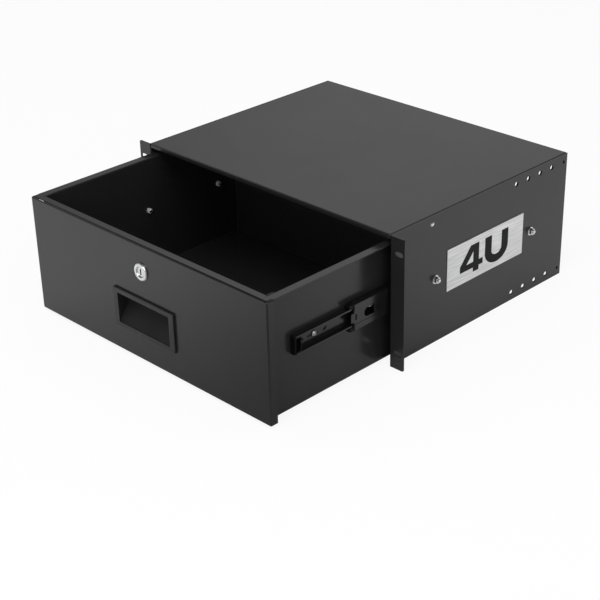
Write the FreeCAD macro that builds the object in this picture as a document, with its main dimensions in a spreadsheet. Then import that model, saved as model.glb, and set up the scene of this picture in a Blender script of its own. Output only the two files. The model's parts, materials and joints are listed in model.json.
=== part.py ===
import FreeCAD, Part
import math
import os
import re
import Sketcher

# Lockable 4U drawer for a 19 inch rack, drawn out to where it stands open.
# The origin is the centre of the four ear slots, in the plane of the ear faces:
# X runs to the right seen from the front, Y to the rear and Z up.
# Drawer, slides and lock are drawn closed and then moved forward along Y.

V = FreeCAD.Vector
doc = FreeCAD.newDocument("rack_drawer")
sheet = doc.addObject("Spreadsheet::Sheet", "Sizes")

# Driving sizes in millimetres
SIZES = {
    # Rack standard and case
    "rack_width": 482.6,
    "ear_reach": 21.3,
    "slot_from_edge": 8.75,
    "slot_from_end": 21.825,
    "slot_length": 12.0,
    "slot_width": 7.0,
    "case_depth": 350.0,
    "case_height": 177.0,
    "case_gauge": 1.5,
    "bend_inside": 0.8,
    "ear_corner": 2.5,
    "side_flange": 10.0,
    "flange_relief": 12.0,
    "seam_drop": 0.5,
    # Top cover
    "lid_gauge": 1.2,
    "lid_lip": 5.5,
    "lid_rear_lip": 14.0,
    "lid_flange": 19.0,
    "lid_flange_start": 16.0,
    # Side holes, cover rivets, rear brace and number plate
    "rear_hole": 7.0,
    "rear_hole_pitch": 25.0,
    "rear_hole_setback": 35.0,
    "hole_row_inset": 11.0,
    "corner_setback": 9.0,
    "rivet_setback": 74.5,
    "rivet_head": 6.5,
    "rivet_dome": 1.4,
    "rivet_crown": 2.6,
    "rivet_shoulder": 0.8,
    "rivet_shank": 4.0,
    "corner_hole": 4.5,
    "brace_height": 19.0,
    "brace_foot": 9.0,
    "brace_tab": 20.0,
    "brace_corner": 1.0,
    "plate_length": 153.0,
    "plate_height": 57.5,
    "plate_gauge": 0.8,
    "plate_corner": 0.6,
    "plate_middle_y": 180.5,
    "plate_middle_z": 3.5,
    # Drawer
    "open_at_rest": 200.0,
    "drawer_gauge": 1.2,
    "drawer_rear_gap": 10.0,
    "drawer_head_gap": 13.4,
    "drawer_floor_gap": 3.6,
    "front_clearance": 0.9,
    "rim_clearance": 0.6,
    "front_depth": 11.0,
    "front_seam": 1.8,
    "wall_flange": 12.0,
    # Flush pull
    "pull_length": 114.0,
    "pull_height": 53.5,
    "pull_from_bottom": 61.6,
    "pull_proud": 3.0,
    "pull_corner": 2.0,
    "pull_mouth_length": 96.0,
    "pull_mouth_height": 40.5,
    "pull_depth": 20.0,
    "pull_back_wall": 7.0,
    "pull_back_round": 5.4,
    "pull_lower_lip": 1.2,
    "pull_wall": 1.6,
    "pull_fit": 0.4,
    # Cam lock
    "lock_from_top": 34.7,
    "lock_flange": 23.0,
    "lock_proud": 2.6,
    "lock_face_bevel": 1.0,
    "lock_body": 18.8,
    "lock_flat": 16.2,
    "lock_hole_fit": 0.3,
    "lock_tail": 1.6,
    "lock_nut_across": 22.0,
    "lock_nut_thick": 3.2,
    "plug": 12.0,
    "plug_fit": 0.06,
    "plug_recess": 1.4,
    "lock_dish": 1.2,
    "keyway_tall": 8.0,
    "keyway_wide": 2.4,
    "keyway_deep": 9.0,
    "cam_length": 43.5,
    "cam_root": 18.0,
    "cam_tip": 12.0,
    "cam_tip_round": 3.0,
    "cam_gauge": 2.5,
    "cam_gap": 0.3,
    "cam_screw_head": 8.0,
    "cam_screw_tall": 2.4,
    "cam_screw_bevel": 1.0,
    "cam_screw_shank": 4.0,
    "cam_screw_depth": 7.0,
    "striker_width": 44.0,
    "striker_gap": 0.8,
    "striker_drop": 11.0,
    "striker_foot": 14.0,
    # Ball bearing slides
    "slide_thickness": 12.7,
    "slide_height": 45.0,
    "slide_tail_gap": 3.0,
    "slide_setback": 47.0,
    "slide_axis_z": 0.5,
    "slide_gauge": 1.2,
    "slide_corner": 2.0,
    "outer_depth": 10.6,
    "outer_flange": 2.3,
    "middle_lead": 6.0,
    "middle_height": 35.4,
    "middle_offset": 2.2,
    "middle_depth": 8.8,
    "middle_flange": 2.8,
    "inner_height": 24.4,
    "inner_depth": 8.2,
    "inner_flange": 2.1,
    "outer_ball": 4.0,
    "outer_ball_from_web": 5.4,
    "outer_ball_z": 19.2,
    "inner_ball": 3.6,
    "inner_ball_from_web": 8.6,
    "inner_ball_z": 13.2,
    "track_fit": 0.06,
    "cage_gauge": 0.5,
    "cage_lead": 79.0,
    "cage_length": 136.0,
    "cage_bridge": 7.0,
    "cage_web_gap": 0.25,
    "ball_pitch": 40.0,
    "first_hole": 35.0,
    "last_hole_setback": 41.0,
    "pilot_hole": 3.2,
    "first_pilot": 16.0,
    "pilot_pitch": 10.0,
    "window_length": 26.0,
    "window_height": 12.0,
    "first_window": 30.0,
    "window_pitch": 96.0,
    "bumper_length": 5.6,
    "bumper_height": 14.0,
    "stop_length": 6.0,
    "stop_height": 16.0,
    "stop_lead": 7.0,
    "stop_link": 1.6,
    "stop_clearance": 0.8,
    "stop_drop": 0.3,
    "stop_round": 0.6,
    "hook_length": 3.0,
    "hook_height": 8.0,
    "hook_fit": 0.25,
    "tab_length": 5.5,
    "tab_height": 12.0,
    "bead_height": 18.6,
    "bead_depth": 0.4,
    "lance_length": 7.0,
    "lance_height": 4.2,
    "lance_reach": 52.0,
    "cap_length": 8.0,
    "cap_face": 2.0,
    "cap_wall": 1.0,
    "cap_fit": 0.1,
    "cap_bevel": 2.5,
    # Slide fasteners
    "bolt": 5.0,
    "bolt_head": 9.2,
    "bolt_hole_fit": 0.2,
    "bolt_end": 2.4,
    "bolt_bevel": 0.5,
    "washer": 11.5,
    "washer_thick": 1.2,
    "bolt_nut_across": 8.0,
    "bolt_nut_thick": 4.0,
    "screw": 4.0,
    "screw_head": 8.0,
    "screw_head_tall": 2.4,
    "screw_cross": 4.6,
    "screw_cross_slot": 1.1,
    "screw_cross_deep": 1.3,
    "screw_end": 1.4,
    "screw_nut_across": 7.0,
    "screw_nut_thick": 3.2,
    "nut_bevel": 0.5,
    # Keys, lying on the drawer floor
    "key_gauge": 2.0,
    "key_blade_length": 24.0,
    "key_blade_tip": 3.0,
    "key_blade_wide": 7.2,
    "key_tang": 9.0,
    "key_first_cut": 3.0,
    "key_cut_pitch": 4.2,
    "key_cut_depth": 1.8,
    "key_head_length": 27.0,
    "key_head_wide": 24.0,
    "key_head_neck": 12.0,
    "key_head_shoulder": 7.0,
    "key_head_thick": 6.0,
    "key_head_corner": 1.5,
    "key_ring_hole": 5.0,
    "key_ring_setback": 5.0,
    "key_from_side": 84.6,
    "key_y": 62.0,
    "key_spacing": 34.0,
}

# Which of the evenly spaced holes take the drawer's screws, and which the last bolt of the case
DRAWER_HOLES = (0, 3, 7)
CASE_HOLE = 6

# Sizes that follow from the driving ones
FOLLOWING = {
    "case_width": "rack_width - 2 * ear_reach",
    "slot_x": "rack_width / 2 - slot_from_edge",
    "slot_z": "case_height / 2 - slot_from_end",
    "drawer_length": "case_depth - drawer_rear_gap",
    "drawer_height": "case_height - drawer_floor_gap - drawer_head_gap",
    "half_case": "case_width / 2",
    "half_height": "case_height / 2",
    "case_inside": "half_case - case_gauge",
    "bend_outside": "bend_inside + case_gauge",
    "first_rear_hole": "case_depth - rear_hole_setback - 3 * rear_hole_pitch",
    "lid_bend": "bend_inside + lid_gauge",
    "lid_under": "half_height - lid_gauge",
    "top_row_z": "half_height - hole_row_inset",
    "drawer_half": "case_inside - slide_thickness",
    "drawer_inside": "drawer_half - drawer_gauge",
    "drawer_bend": "bend_inside + drawer_gauge",
    "drawer_bottom": "drawer_floor_gap - half_height",
    "drawer_top": "drawer_bottom + drawer_height",
    "lock_z": "drawer_top - lock_from_top",
    "pull_middle_z": "drawer_bottom + pull_from_bottom",
    "rim_half": "case_inside - lid_gauge - rim_clearance",
    "front_half": "case_inside - front_clearance",
    "inner_front_back": "front_depth + drawer_gauge",
    "pull_body_length": "pull_mouth_length + 2 * pull_wall",
    "pull_body_height": "pull_mouth_height + 2 * pull_wall",
    "lock_back": "inner_front_back + lock_nut_thick + lock_tail",
    "cam_front": "lock_back + cam_gap",
    "cam_back": "cam_front + cam_gauge",
    "slide_length": "case_depth - slide_setback - slide_tail_gap",
    "hole_pitch": f"(slide_length - first_hole - last_hole_setback) / {DRAWER_HOLES[-1]}",
    "bolt_hole": "bolt + bolt_hole_fit",
    "screw_hole": "screw + bolt_hole_fit",
    "outer_inside": "slide_height / 2 - outer_flange",
    "middle_half": "middle_height / 2",
    "middle_inside": "middle_half - middle_flange",
    "middle_far": "middle_offset + middle_depth",
    "inner_half": "inner_height / 2",
    "inner_inside": "inner_half - inner_flange",
    "inner_near": "slide_thickness - inner_depth",
    "inner_web": "slide_thickness - slide_gauge",
    "outer_cage_web": "slide_gauge + cage_web_gap",
    "inner_cage_web": "middle_offset + slide_gauge + cage_web_gap",
    "stop_tongue": "inner_cage_web - cage_web_gap + cage_gauge",
    "key_x": "drawer_inside - key_from_side",
}


def fill_sheet():
    """Write the driving sizes as plain numbers and the following ones as formulas."""
    for row, (alias, amount) in enumerate(SIZES.items(), start=1):
        sheet.set(f"A{row}", alias)
        sheet.set(f"B{row}", str(amount))
        sheet.setAlias(f"B{row}", alias)
    for row, (alias, formula) in enumerate(FOLLOWING.items(), start=1):
        sheet.set(f"D{row}", alias)
        sheet.set(f"E{row}", "=" + formula)
        sheet.setAlias(f"E{row}", alias)
    doc.recompute()


def size(alias):
    """The number that a cell holds."""
    return float(sheet.get(alias))


def sized(formula):
    """The formula with every size in it named as a cell of the sheet."""
    return re.sub(r"[a-z][a-z_]*", r"Sizes.\g<0>", str(formula))


def negative(formula):
    """The same length, measured the other way."""
    return f"-({formula})"


# Small tools for bodies, sketches and features

def new_body(label):
    """An empty body, which may end up as several separate solids."""
    body = doc.addObject("PartDesign::Body", label)
    body.Label = label
    body.AllowCompound = True
    return body


def origin_part(body, role):
    """One of the body's own origin planes or axes."""
    return next(item for item in body.Origin.OriginFeatures if item.Role == role)


def new_sketch(body, plane, x="0", y="0", z="0"):
    """A sketch on an origin plane, with its own origin at the point x, y, z."""
    along = {"XY": (x, y, z), "XZ": (x, z, negative(y)), "YZ": (y, z, x)}[plane]
    sketch = body.newObject("Sketcher::SketchObject", body.Label + "_sketch")
    sketch.AttachmentSupport = [(origin_part(body, plane + "_Plane"), "")]
    sketch.MapMode = "FlatFace"
    for direction, formula in zip("xyz", along):
        sketch.setExpression("AttachmentOffset.Base." + direction, sized(formula))
    return sketch


def constrain(sketch, name, formula, *what):
    """A dimension with a name, bound to its formula."""
    index = sketch.addConstraint(Sketcher.Constraint(*what))
    sketch.renameConstraint(index, name)
    sketch.setExpression("Constraints." + name, sized(formula))


def outline(sketch, points):
    """A closed polygon whose corners are pairs of formulas from the sketch's origin."""
    first = sketch.GeometryCount
    count = len(points)
    start = [V(math.cos(2 * math.pi * i / count), math.sin(2 * math.pi * i / count), 0) for i in range(count)]
    for i in range(count):
        sketch.addGeometry(Part.LineSegment(start[i], start[(i + 1) % count]), False)
    for i in range(count):
        following = first + (i + 1) % count
        sketch.addConstraint(Sketcher.Constraint("Coincident", first + i, 2, following, 1))
    for i, (across, up) in enumerate(points):
        corner = first + i
        constrain(sketch, f"across{corner}", across, "DistanceX", -1, 1, corner, 1, start[i].x)
        constrain(sketch, f"up{corner}", up, "DistanceY", -1, 1, corner, 1, start[i].y)
    return sketch


def rectangle(sketch, width, height, left="0", low="0"):
    """A rectangle of that width and height, its lower left corner at left, low."""
    right = f"{left} + {width}"
    top = f"{low} + {height}"
    return outline(sketch, [(left, low), (right, low), (right, top), (left, top)])


def circle(sketch, diameter, across="0", up="0"):
    """A circle with its centre at across, up."""
    index = sketch.addGeometry(Part.Circle(V(1, 1, 0), V(0, 0, 1), 1.0), False)
    constrain(sketch, f"across{index}", across, "DistanceX", -1, 1, index, 3, 1.0)
    constrain(sketch, f"up{index}", up, "DistanceY", -1, 1, index, 3, 1.0)
    constrain(sketch, f"diameter{index}", diameter, "Diameter", index, 2.0)
    return sketch


def long_hole(sketch, length, width, across="0", up="0"):
    """A hole with round ends, centred at across, up, its length along the sketch's X."""
    first = sketch.GeometryCount
    sketch.addGeometry(Part.ArcOfCircle(Part.Circle(V(-2, 0, 0), V(0, 0, 1), 1), math.pi / 2, 1.5 * math.pi), False)
    sketch.addGeometry(Part.LineSegment(V(-2, -1, 0), V(2, -1, 0)), False)
    sketch.addGeometry(Part.ArcOfCircle(Part.Circle(V(2, 0, 0), V(0, 0, 1), 1), 1.5 * math.pi, 2.5 * math.pi), False)
    sketch.addGeometry(Part.LineSegment(V(2, 1, 0), V(-2, 1, 0)), False)
    left, under, right, over = range(first, first + 4)
    for one, end, other, start in ((left, 2, under, 1), (under, 2, right, 1), (right, 2, over, 1), (over, 2, left, 1)):
        sketch.addConstraint(Sketcher.Constraint("Tangent", one, end, other, start))
    sketch.addConstraint(Sketcher.Constraint("Horizontal", under))
    sketch.addConstraint(Sketcher.Constraint("Equal", left, right))
    half = f"({length} - ({width})) / 2"
    constrain(sketch, f"left{first}", f"{across} - {half}", "DistanceX", -1, 1, left, 3, -2.0)
    constrain(sketch, f"right{first}", f"{across} + {half}", "DistanceX", -1, 1, right, 3, 2.0)
    constrain(sketch, f"up{first}", up, "DistanceY", -1, 1, left, 3, 0.0)
    constrain(sketch, f"round{first}", f"({width}) / 2", "Radius", left, 1.0)
    return sketch


def finish_step(body, feature):
    """Make the feature the body's last one and work it out."""
    body.Tip = feature
    doc.recompute()
    if feature.Shape.isNull() or not feature.Shape.isValid():
        raise RuntimeError(feature.Name + " can't be made")
    return feature


def pad(body, sketch, length, backwards=False):
    """Material along the sketch plane's normal, or against it."""
    feature = body.newObject("PartDesign::Pad", body.Label + "_pad")
    feature.Profile = (sketch, [""])
    feature.setExpression("Length", sized(length))
    feature.Reversed = backwards
    return finish_step(body, feature)


def pocket(body, sketch, length=None, backwards=False):
    """A cut of that depth against the plane's normal, or right through both ways."""
    feature = body.newObject("PartDesign::Pocket", body.Label + "_pocket")
    feature.Profile = (sketch, [""])
    if length is None:
        feature.Type = "ThroughAll"
        feature.Midplane = True
    else:
        feature.setExpression("Length", sized(length))
        feature.Reversed = backwards
    before = body.Shape.Volume
    finish_step(body, feature)
    if body.Shape.Volume >= before:
        raise RuntimeError("a cut in " + body.Label + " removes nothing")
    return feature


def revolve(body, sketch, axis="H_Axis"):
    """A full turn of the sketch about one of its own axes."""
    feature = body.newObject("PartDesign::Revolution", body.Label + "_turn")
    feature.Profile = (sketch, [""])
    feature.ReferenceAxis = (sketch, [axis])
    feature.Angle = 360.0
    return finish_step(body, feature)


def turned_cut(body, sketch, axis="H_Axis"):
    """A cut that is a full turn of the sketch about one of its own axes."""
    before = body.Shape.Volume
    feature = body.newObject("PartDesign::Groove", body.Label + "_groove")
    feature.Profile = (sketch, [""])
    feature.ReferenceAxis = (sketch, [axis])
    feature.Angle = 360.0
    finish_step(body, feature)
    if body.Shape.Volume >= before:
        raise RuntimeError("a cut in " + body.Label + " removes nothing")
    return feature


def pattern(body, features, axis, pitch, count):
    """Copies of one feature, or of several, in a row, a pitch apart."""
    row = body.newObject("PartDesign::LinearPattern", body.Label + "_row")
    row.Originals = features if isinstance(features, list) else [features]
    row.Direction = (origin_part(body, axis + "_Axis"), [""])
    row.Mode = "Spacing"
    row.setExpression("Offset", sized(pitch))
    row.Occurrences = count
    return finish_step(body, row)


def mirror(body, features, plane):
    """The features again on the other side of an origin plane."""
    copy = body.newObject("PartDesign::Mirrored", body.Label + "_mirror")
    copy.Originals = features
    copy.MirrorPlane = (origin_part(body, plane + "_Plane"), [""])
    return finish_step(body, copy)


def folded_box(body, low, lengths, gauge, open_sides):
    """Sheet folded into a box, from its low corner and lengths, and open on sides such as +z."""
    block = new_sketch(body, "XY", *low)
    rectangle(block, lengths[0], lengths[1])
    pad(body, block, lengths[2])
    box = body.Shape.BoundBox
    round_edges(body, lambda p: not on_open_side(box, p, open_sides), f"bend_inside + {gauge}")
    inner_low = []
    inner_lengths = []
    for axis, start, length in zip("xyz", low, lengths):
        before = negative(gauge) if "-" + axis in open_sides else gauge
        after = negative(gauge) if "+" + axis in open_sides else gauge
        inner_low.append(f"{start} + ({before})")
        inner_lengths.append(f"{length} - ({before}) - ({after})")
    hollow = new_sketch(body, "XY", *inner_low)
    rectangle(hollow, inner_lengths[0], inner_lengths[1])
    pocket(body, hollow, inner_lengths[2], backwards=True)
    return round_edges(body, lambda p: strictly_inside(box, p), "bend_inside")


def on_open_side(box, p, open_sides):
    """Whether a point lies on one of the open sides of a box."""
    places = {
        "-x": (p.x, box.XMin), "+x": (p.x, box.XMax),
        "-y": (p.y, box.YMin), "+y": (p.y, box.YMax),
        "-z": (p.z, box.ZMin), "+z": (p.z, box.ZMax),
    }
    return any(close(*places[side]) for side in open_sides)


def strictly_inside(box, p):
    """Whether a point lies inside a box and on none of its sides."""
    return not on_open_side(box, p, ("-x", "+x", "-y", "+y", "-z", "+z")) and box.isInside(p)


def round_edges(body, near, radius, along=None):
    """Round the straight edges, along an axis if one is given, whose middle meets the test."""
    names = []
    for number, edge in enumerate(body.Shape.Edges, start=1):
        if edge.Degenerated or not isinstance(edge.Curve, Part.Line):
            continue
        if along and abs(edge.Curve.Direction.dot(V(*along))) < 0.999:
            continue
        if near(edge.CenterOfMass):
            names.append(f"Edge{number}")
    return round_named(body, names, radius)


def round_rim(body, y, radius):
    """Round every edge that lies in the plane at that Y."""
    edges = enumerate(body.Shape.Edges, start=1)
    names = [f"Edge{i}" for i, edge in edges if close(edge.BoundBox.YMin, y) and close(edge.BoundBox.YMax, y)]
    return round_named(body, names, radius)


def round_named(body, names, radius):
    """Round the edges that have these names."""
    if not names:
        raise RuntimeError("no edge to round in " + body.Label)
    base = body.Tip
    feature = body.newObject("PartDesign::Fillet", body.Label + "_round")
    feature.Base = (base, names)
    feature.setExpression("Radius", sized(radius))
    return finish_step(body, feature)


def close(one, other):
    """Whether two lengths are the same to a hundredth of a millimetre."""
    return abs(one - other) < 0.01


def move_forward(body, share, lead="0"):
    """Draw the body out by a share of the opening, and by its lead."""
    body.setExpression("Placement.Base.y", sized(f"-open_at_rest * {share} - ({lead})"))
    return body


def other_side(body, label):
    """The same piece on the left side of the drawer."""
    copy = doc.addObject("Part::Mirroring", label)
    copy.Label = label
    copy.Source = body
    copy.Normal = V(1, 0, 0)
    doc.recompute()
    return copy


ALONG_X = (1, 0, 0)
ALONG_Y = (0, 1, 0)
ALONG_Z = (0, 0, 1)


# Case

def right_side_panel():
    """Side sheet with the rack ear bent out in front and flanges bent in at the bottom and rear."""
    body = new_body("right_side_panel")
    plan = new_sketch(body, "XY", "0", "0", "-half_height")
    outline(plan, [
        ("case_inside", "0"),
        ("rack_width / 2", "0"),
        ("rack_width / 2", "case_gauge"),
        ("half_case", "case_gauge"),
        ("half_case", "case_depth"),
        ("half_case - side_flange", "case_depth"),
        ("half_case - side_flange", "case_depth - case_gauge"),
        ("case_inside", "case_depth - case_gauge"),
    ])
    pad(body, plan, "case_height - seam_drop")
    inside = size("case_inside")
    outside = size("half_case")
    gauge = size("case_gauge")
    rear = size("case_depth")
    convex = ((inside, 0), (outside, rear))
    concave = ((outside, gauge), (inside, rear - gauge))
    round_edges(body, lambda p: any(close(p.x, x) and close(p.y, y) for x, y in convex), "bend_outside")
    round_edges(body, lambda p: any(close(p.x, x) and close(p.y, y) for x, y in concave), "bend_inside")
    round_edges(body, lambda p: close(p.x, size("rack_width") / 2), "ear_corner", ALONG_Y)
    relief = new_sketch(body, "XZ", "half_case - side_flange", "case_depth", "half_height - lid_lip - rim_clearance")
    rectangle(relief, "side_flange - case_gauge", "lid_lip + rim_clearance")
    pocket(body, relief, "side_flange", backwards=True)
    flange = new_sketch(body, "XY", "half_case - side_flange", "flange_relief", "-half_height")
    rectangle(flange, "side_flange - case_gauge", "case_depth - 2 * flange_relief")
    pad(body, flange, "case_gauge")
    low = -size("half_height")
    round_edges(body, lambda p: close(p.x, inside) and close(p.z, low + gauge), "bend_inside", ALONG_Y)
    slots = new_sketch(body, "XZ")
    for end in ("slot_z", "-slot_z"):
        long_hole(slots, "slot_length", "slot_width", "slot_x", end)
    pocket(body, slots)
    rear_holes = new_sketch(body, "YZ")
    for row in ("top_row_z", "-top_row_z"):
        circle(rear_holes, "rear_hole", "first_rear_hole", row)
    cut = pocket(body, rear_holes)
    pattern(body, cut, "Y", "rear_hole_pitch", 4)
    fixings = new_sketch(body, "YZ")
    for reach in ("0", f"{CASE_HOLE} * hole_pitch"):
        circle(fixings, "bolt_hole", f"slide_setback + first_hole + {reach}", "slide_axis_z")
    for row in ("top_row_z", "-top_row_z"):
        circle(fixings, "corner_hole", "case_depth - corner_setback", row)
    circle(fixings, "rivet_shank", "rivet_setback", "top_row_z")
    pocket(body, fixings)
    return body


def top_cover():
    """Lid sheet with a lip in front, a lip behind and side flanges inside the side panels."""
    body = new_body("top_cover")
    low = ("-case_inside", "0", "half_height - lid_lip")
    folded_box(body, low, ("2 * case_inside", "case_depth", "lid_lip"), "lid_gauge", ["-z"])
    skirt = new_sketch(body, "YZ", "case_inside - lid_gauge", "lid_flange_start", "half_height - lid_flange")
    rectangle(skirt, "case_depth - lid_flange_start - bend_outside - seam_drop", "lid_flange - lid_bend")
    skirts = pad(body, skirt, "lid_gauge")
    mirror(body, [skirts], "YZ")
    rear = new_sketch(body, "XZ", "-case_inside + side_flange", "case_depth", "half_height - lid_rear_lip")
    rectangle(rear, "2 * (case_inside - side_flange)", "lid_rear_lip - lid_bend")
    pad(body, rear, "lid_gauge")
    holes = new_sketch(body, "YZ")
    circle(holes, "rear_hole", "first_rear_hole", "top_row_z")
    cut = pocket(body, holes)
    pattern(body, cut, "Y", "rear_hole_pitch", 4)
    fixings = new_sketch(body, "YZ")
    circle(fixings, "corner_hole", "case_depth - corner_setback", "top_row_z")
    circle(fixings, "rivet_shank", "rivet_setback", "top_row_z")
    pocket(body, fixings)
    return body


def rear_brace():
    """Angle across the bottom rear, with a tab up each side panel."""
    body = new_body("rear_brace")
    upright = new_sketch(body, "XZ", "-case_inside", "case_depth - case_gauge", "case_gauge - half_height")
    rectangle(upright, "2 * case_inside", "brace_height")
    pad(body, upright, "case_gauge")
    foot = new_sketch(body, "XY", "-case_inside", "case_depth - case_gauge - brace_foot", "case_gauge - half_height")
    rectangle(foot, "2 * case_inside", "brace_foot")
    pad(body, foot, "case_gauge")
    back = size("case_depth") - size("case_gauge")
    low = size("case_gauge") - size("half_height")
    round_edges(body, lambda p: close(p.y, back) and close(p.z, low), "bend_outside", ALONG_X)
    inner = back - size("case_gauge")
    round_edges(body, lambda p: close(p.y, inner) and close(p.z, low + size("case_gauge")), "bend_inside", ALONG_X)
    tab = new_sketch(body, "YZ", "case_inside - case_gauge", "case_depth - case_gauge - brace_tab", "case_gauge - half_height")
    rectangle(tab, "brace_tab", "brace_height")
    tabs = pad(body, tab, "case_gauge")
    mirror(body, [tabs], "YZ")
    side = size("case_inside")
    round_edges(body, lambda p: close(abs(p.x), side) and (close(p.y, back) or close(p.z, low)), "brace_corner")
    holes = new_sketch(body, "YZ")
    circle(holes, "corner_hole", "case_depth - corner_setback", "-top_row_z")
    pocket(body, holes)
    return body


def lock_striker():
    """Bracket under the lid that the cam hooks behind."""
    body = new_body("lock_striker")
    start = "cam_front - striker_gap - case_gauge"
    angle = new_sketch(body, "YZ", "-striker_width / 2", start, "lid_under")
    outline(angle, [
        ("0", "0"),
        ("0", "-striker_drop"),
        ("case_gauge", "-striker_drop"),
        ("case_gauge", "-case_gauge"),
        ("striker_foot", "-case_gauge"),
        ("striker_foot", "0"),
    ])
    pad(body, angle, "striker_width")
    front = size("cam_front") - size("striker_gap") - size("case_gauge")
    round_edges(body, lambda p: close(p.y, front) and close(p.z, size("lid_under")), "bend_outside", ALONG_X)
    inner = front + size("case_gauge")
    under = size("lid_under") - size("case_gauge")
    round_edges(body, lambda p: close(p.y, inner) and close(p.z, under), "bend_inside", ALONG_X)
    return body


def size_plate():
    """Thin plate stuck to the right side panel."""
    body = new_body("size_plate")
    face = new_sketch(body, "YZ", "half_case", "plate_middle_y", "plate_middle_z")
    rectangle(face, "plate_length", "plate_height", "-plate_length / 2", "-plate_height / 2")
    pad(body, face, "plate_gauge")
    round_edges(body, lambda p: p.x > 0, "plate_corner", ALONG_X)
    return body


def cover_rivets():
    """Domed rivets that hold the lid's side flanges."""
    body = new_body("cover_rivets")
    half = new_sketch(body, "XY", "half_case", "rivet_setback", "top_row_z")
    outline(half, [
        ("0", "0"),
        ("-case_gauge - lid_gauge", "0"),
        ("-case_gauge - lid_gauge", "rivet_shank / 2"),
        ("0", "rivet_shank / 2"),
        ("0", "rivet_head / 2"),
        ("rivet_shoulder", "rivet_crown"),
        ("rivet_dome", "rivet_crown / 2"),
        ("rivet_dome", "0"),
    ])
    turned = revolve(body, half)
    mirror(body, [turned], "YZ")
    return body


# Slides: distances called from_web are measured from the case wall towards the drawer

def from_wall(distance):
    """The X of a point at that distance inside the right case wall."""
    return f"case_inside - ({distance})"


def channel(body, near, depth, half, flange, length):
    """A C shaped rail, its web on the side away from the drawer."""
    solid = new_sketch(body, "XZ", from_wall(f"{near} + {depth}"), "slide_setback", "slide_axis_z")
    rectangle(solid, depth, f"2 * ({half})", "0", negative(half))
    pad(body, solid, length, backwards=True)
    hollow = new_sketch(body, "XZ", from_wall(f"{near} + {depth}"), "slide_setback", "slide_axis_z")
    rectangle(hollow, f"{depth} - slide_gauge", f"2 * ({half} - ({flange}))", "0", negative(f"{half} - ({flange})"))
    pocket(body, hollow)
    return body


def ball_tracks(body, ball, away, height):
    """Two round grooves along the rail, above and below its axis."""
    grooves = new_sketch(body, "XZ", from_wall(away), "slide_setback", "slide_axis_z")
    for up in (height, negative(height)):
        circle(grooves, f"{ball} + 2 * track_fit", "0", up)
    pocket(body, grooves)


def slide_outer_member():
    """Case rail, with the outer tracks inside its flanges."""
    body = new_body("right_slide_outer_member")
    channel(body, "0", "outer_depth", "slide_height / 2", "outer_flange", "slide_length")
    ball_tracks(body, "outer_ball", "outer_ball_from_web", "outer_ball_z")
    wall = size("case_inside")
    round_edges(body, lambda p: close(p.x, wall), "slide_corner", ALONG_Y)
    seat = new_sketch(body, "XY", from_wall("slide_gauge"), "slide_setback + first_hole", "slide_axis_z")
    outline(seat, [
        ("0", "0"),
        ("0", "bolt_head / 2"),
        ("slide_gauge", "bolt_hole / 2"),
        ("slide_gauge", "0"),
    ])
    cut = turned_cut(body, seat)
    pattern(body, cut, "Y", f"{CASE_HOLE} * hole_pitch", 2)
    return body


def slide_middle_member():
    """Middle rail with tracks on both sides of its flanges and access windows in its web."""
    body = new_body("right_slide_middle_member")
    channel(body, "middle_offset", "middle_depth", "middle_half", "middle_flange", "slide_length")
    ball_tracks(body, "outer_ball", "outer_ball_from_web", "outer_ball_z")
    ball_tracks(body, "inner_ball", "inner_ball_from_web", "inner_ball_z")
    web = size("case_inside") - size("middle_offset")
    round_edges(body, lambda p: close(p.x, web), "slide_gauge", ALONG_Y)
    windows = new_sketch(body, "YZ")
    long_hole(windows, "window_length", "window_height", "slide_setback + first_window", "slide_axis_z")
    cut = pocket(body, windows)
    pattern(body, cut, "Y", "window_pitch", 3)
    bead = new_sketch(body, "YZ", from_wall("middle_offset"), "slide_setback", "slide_axis_z")
    rectangle(bead, "slide_length", "bead_height", "0", "-bead_height / 2")
    pocket(body, bead, "bead_depth")
    tab = new_sketch(body, "YZ", from_wall("middle_offset + slide_gauge"), "slide_setback", "slide_axis_z")
    rectangle(tab, "tab_length", "tab_height", "-tab_length", "-tab_height / 2")
    pad(body, tab, "slide_gauge - bead_depth")
    window = new_sketch(body, "YZ", "0", "slide_setback", "slide_axis_z")
    rectangle(window, "hook_length", "hook_height", "hook_length / 2", "-hook_height / 2")
    pocket(body, window)
    return move_forward(body, 0.5, "middle_lead")


def slide_inner_member():
    """Drawer rail, its web on the drawer wall and its flanges towards the case."""
    body = new_body("right_slide_inner_member")
    solid = new_sketch(body, "XZ", "drawer_half", "slide_setback", "slide_axis_z")
    rectangle(solid, "inner_depth", "inner_height", "0", "-inner_half")
    pad(body, solid, "slide_length", backwards=True)
    hollow = new_sketch(body, "XZ", "drawer_half", "slide_setback", "slide_axis_z")
    rectangle(hollow, "inner_depth - slide_gauge", "2 * inner_inside", "slide_gauge", "-inner_inside")
    pocket(body, hollow)
    ball_tracks(body, "inner_ball", "inner_ball_from_web", "inner_ball_z")
    wall = size("drawer_half")
    round_edges(body, lambda p: close(p.x, wall), "slide_gauge", ALONG_Y)
    inner = wall + size("slide_gauge")
    round_edges(body, lambda p: close(p.x, inner), "bend_inside", ALONG_Y)
    holes = new_sketch(body, "YZ", "0", "slide_setback", "slide_axis_z")
    long_hole(holes, "hole_pitch / 3 + screw_hole / 2", "screw_hole", "first_hole")
    for steps in DRAWER_HOLES[1:]:
        circle(holes, "screw_hole", f"first_hole + {steps} * hole_pitch")
    pocket(body, holes)
    small = new_sketch(body, "YZ", "0", "slide_setback", "slide_axis_z")
    for steps in (0, 1):
        circle(small, "pilot_hole", f"first_pilot + {steps} * pilot_pitch")
    lance(small, "lance_reach")
    pocket(body, small)
    return move_forward(body, 1)


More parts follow.
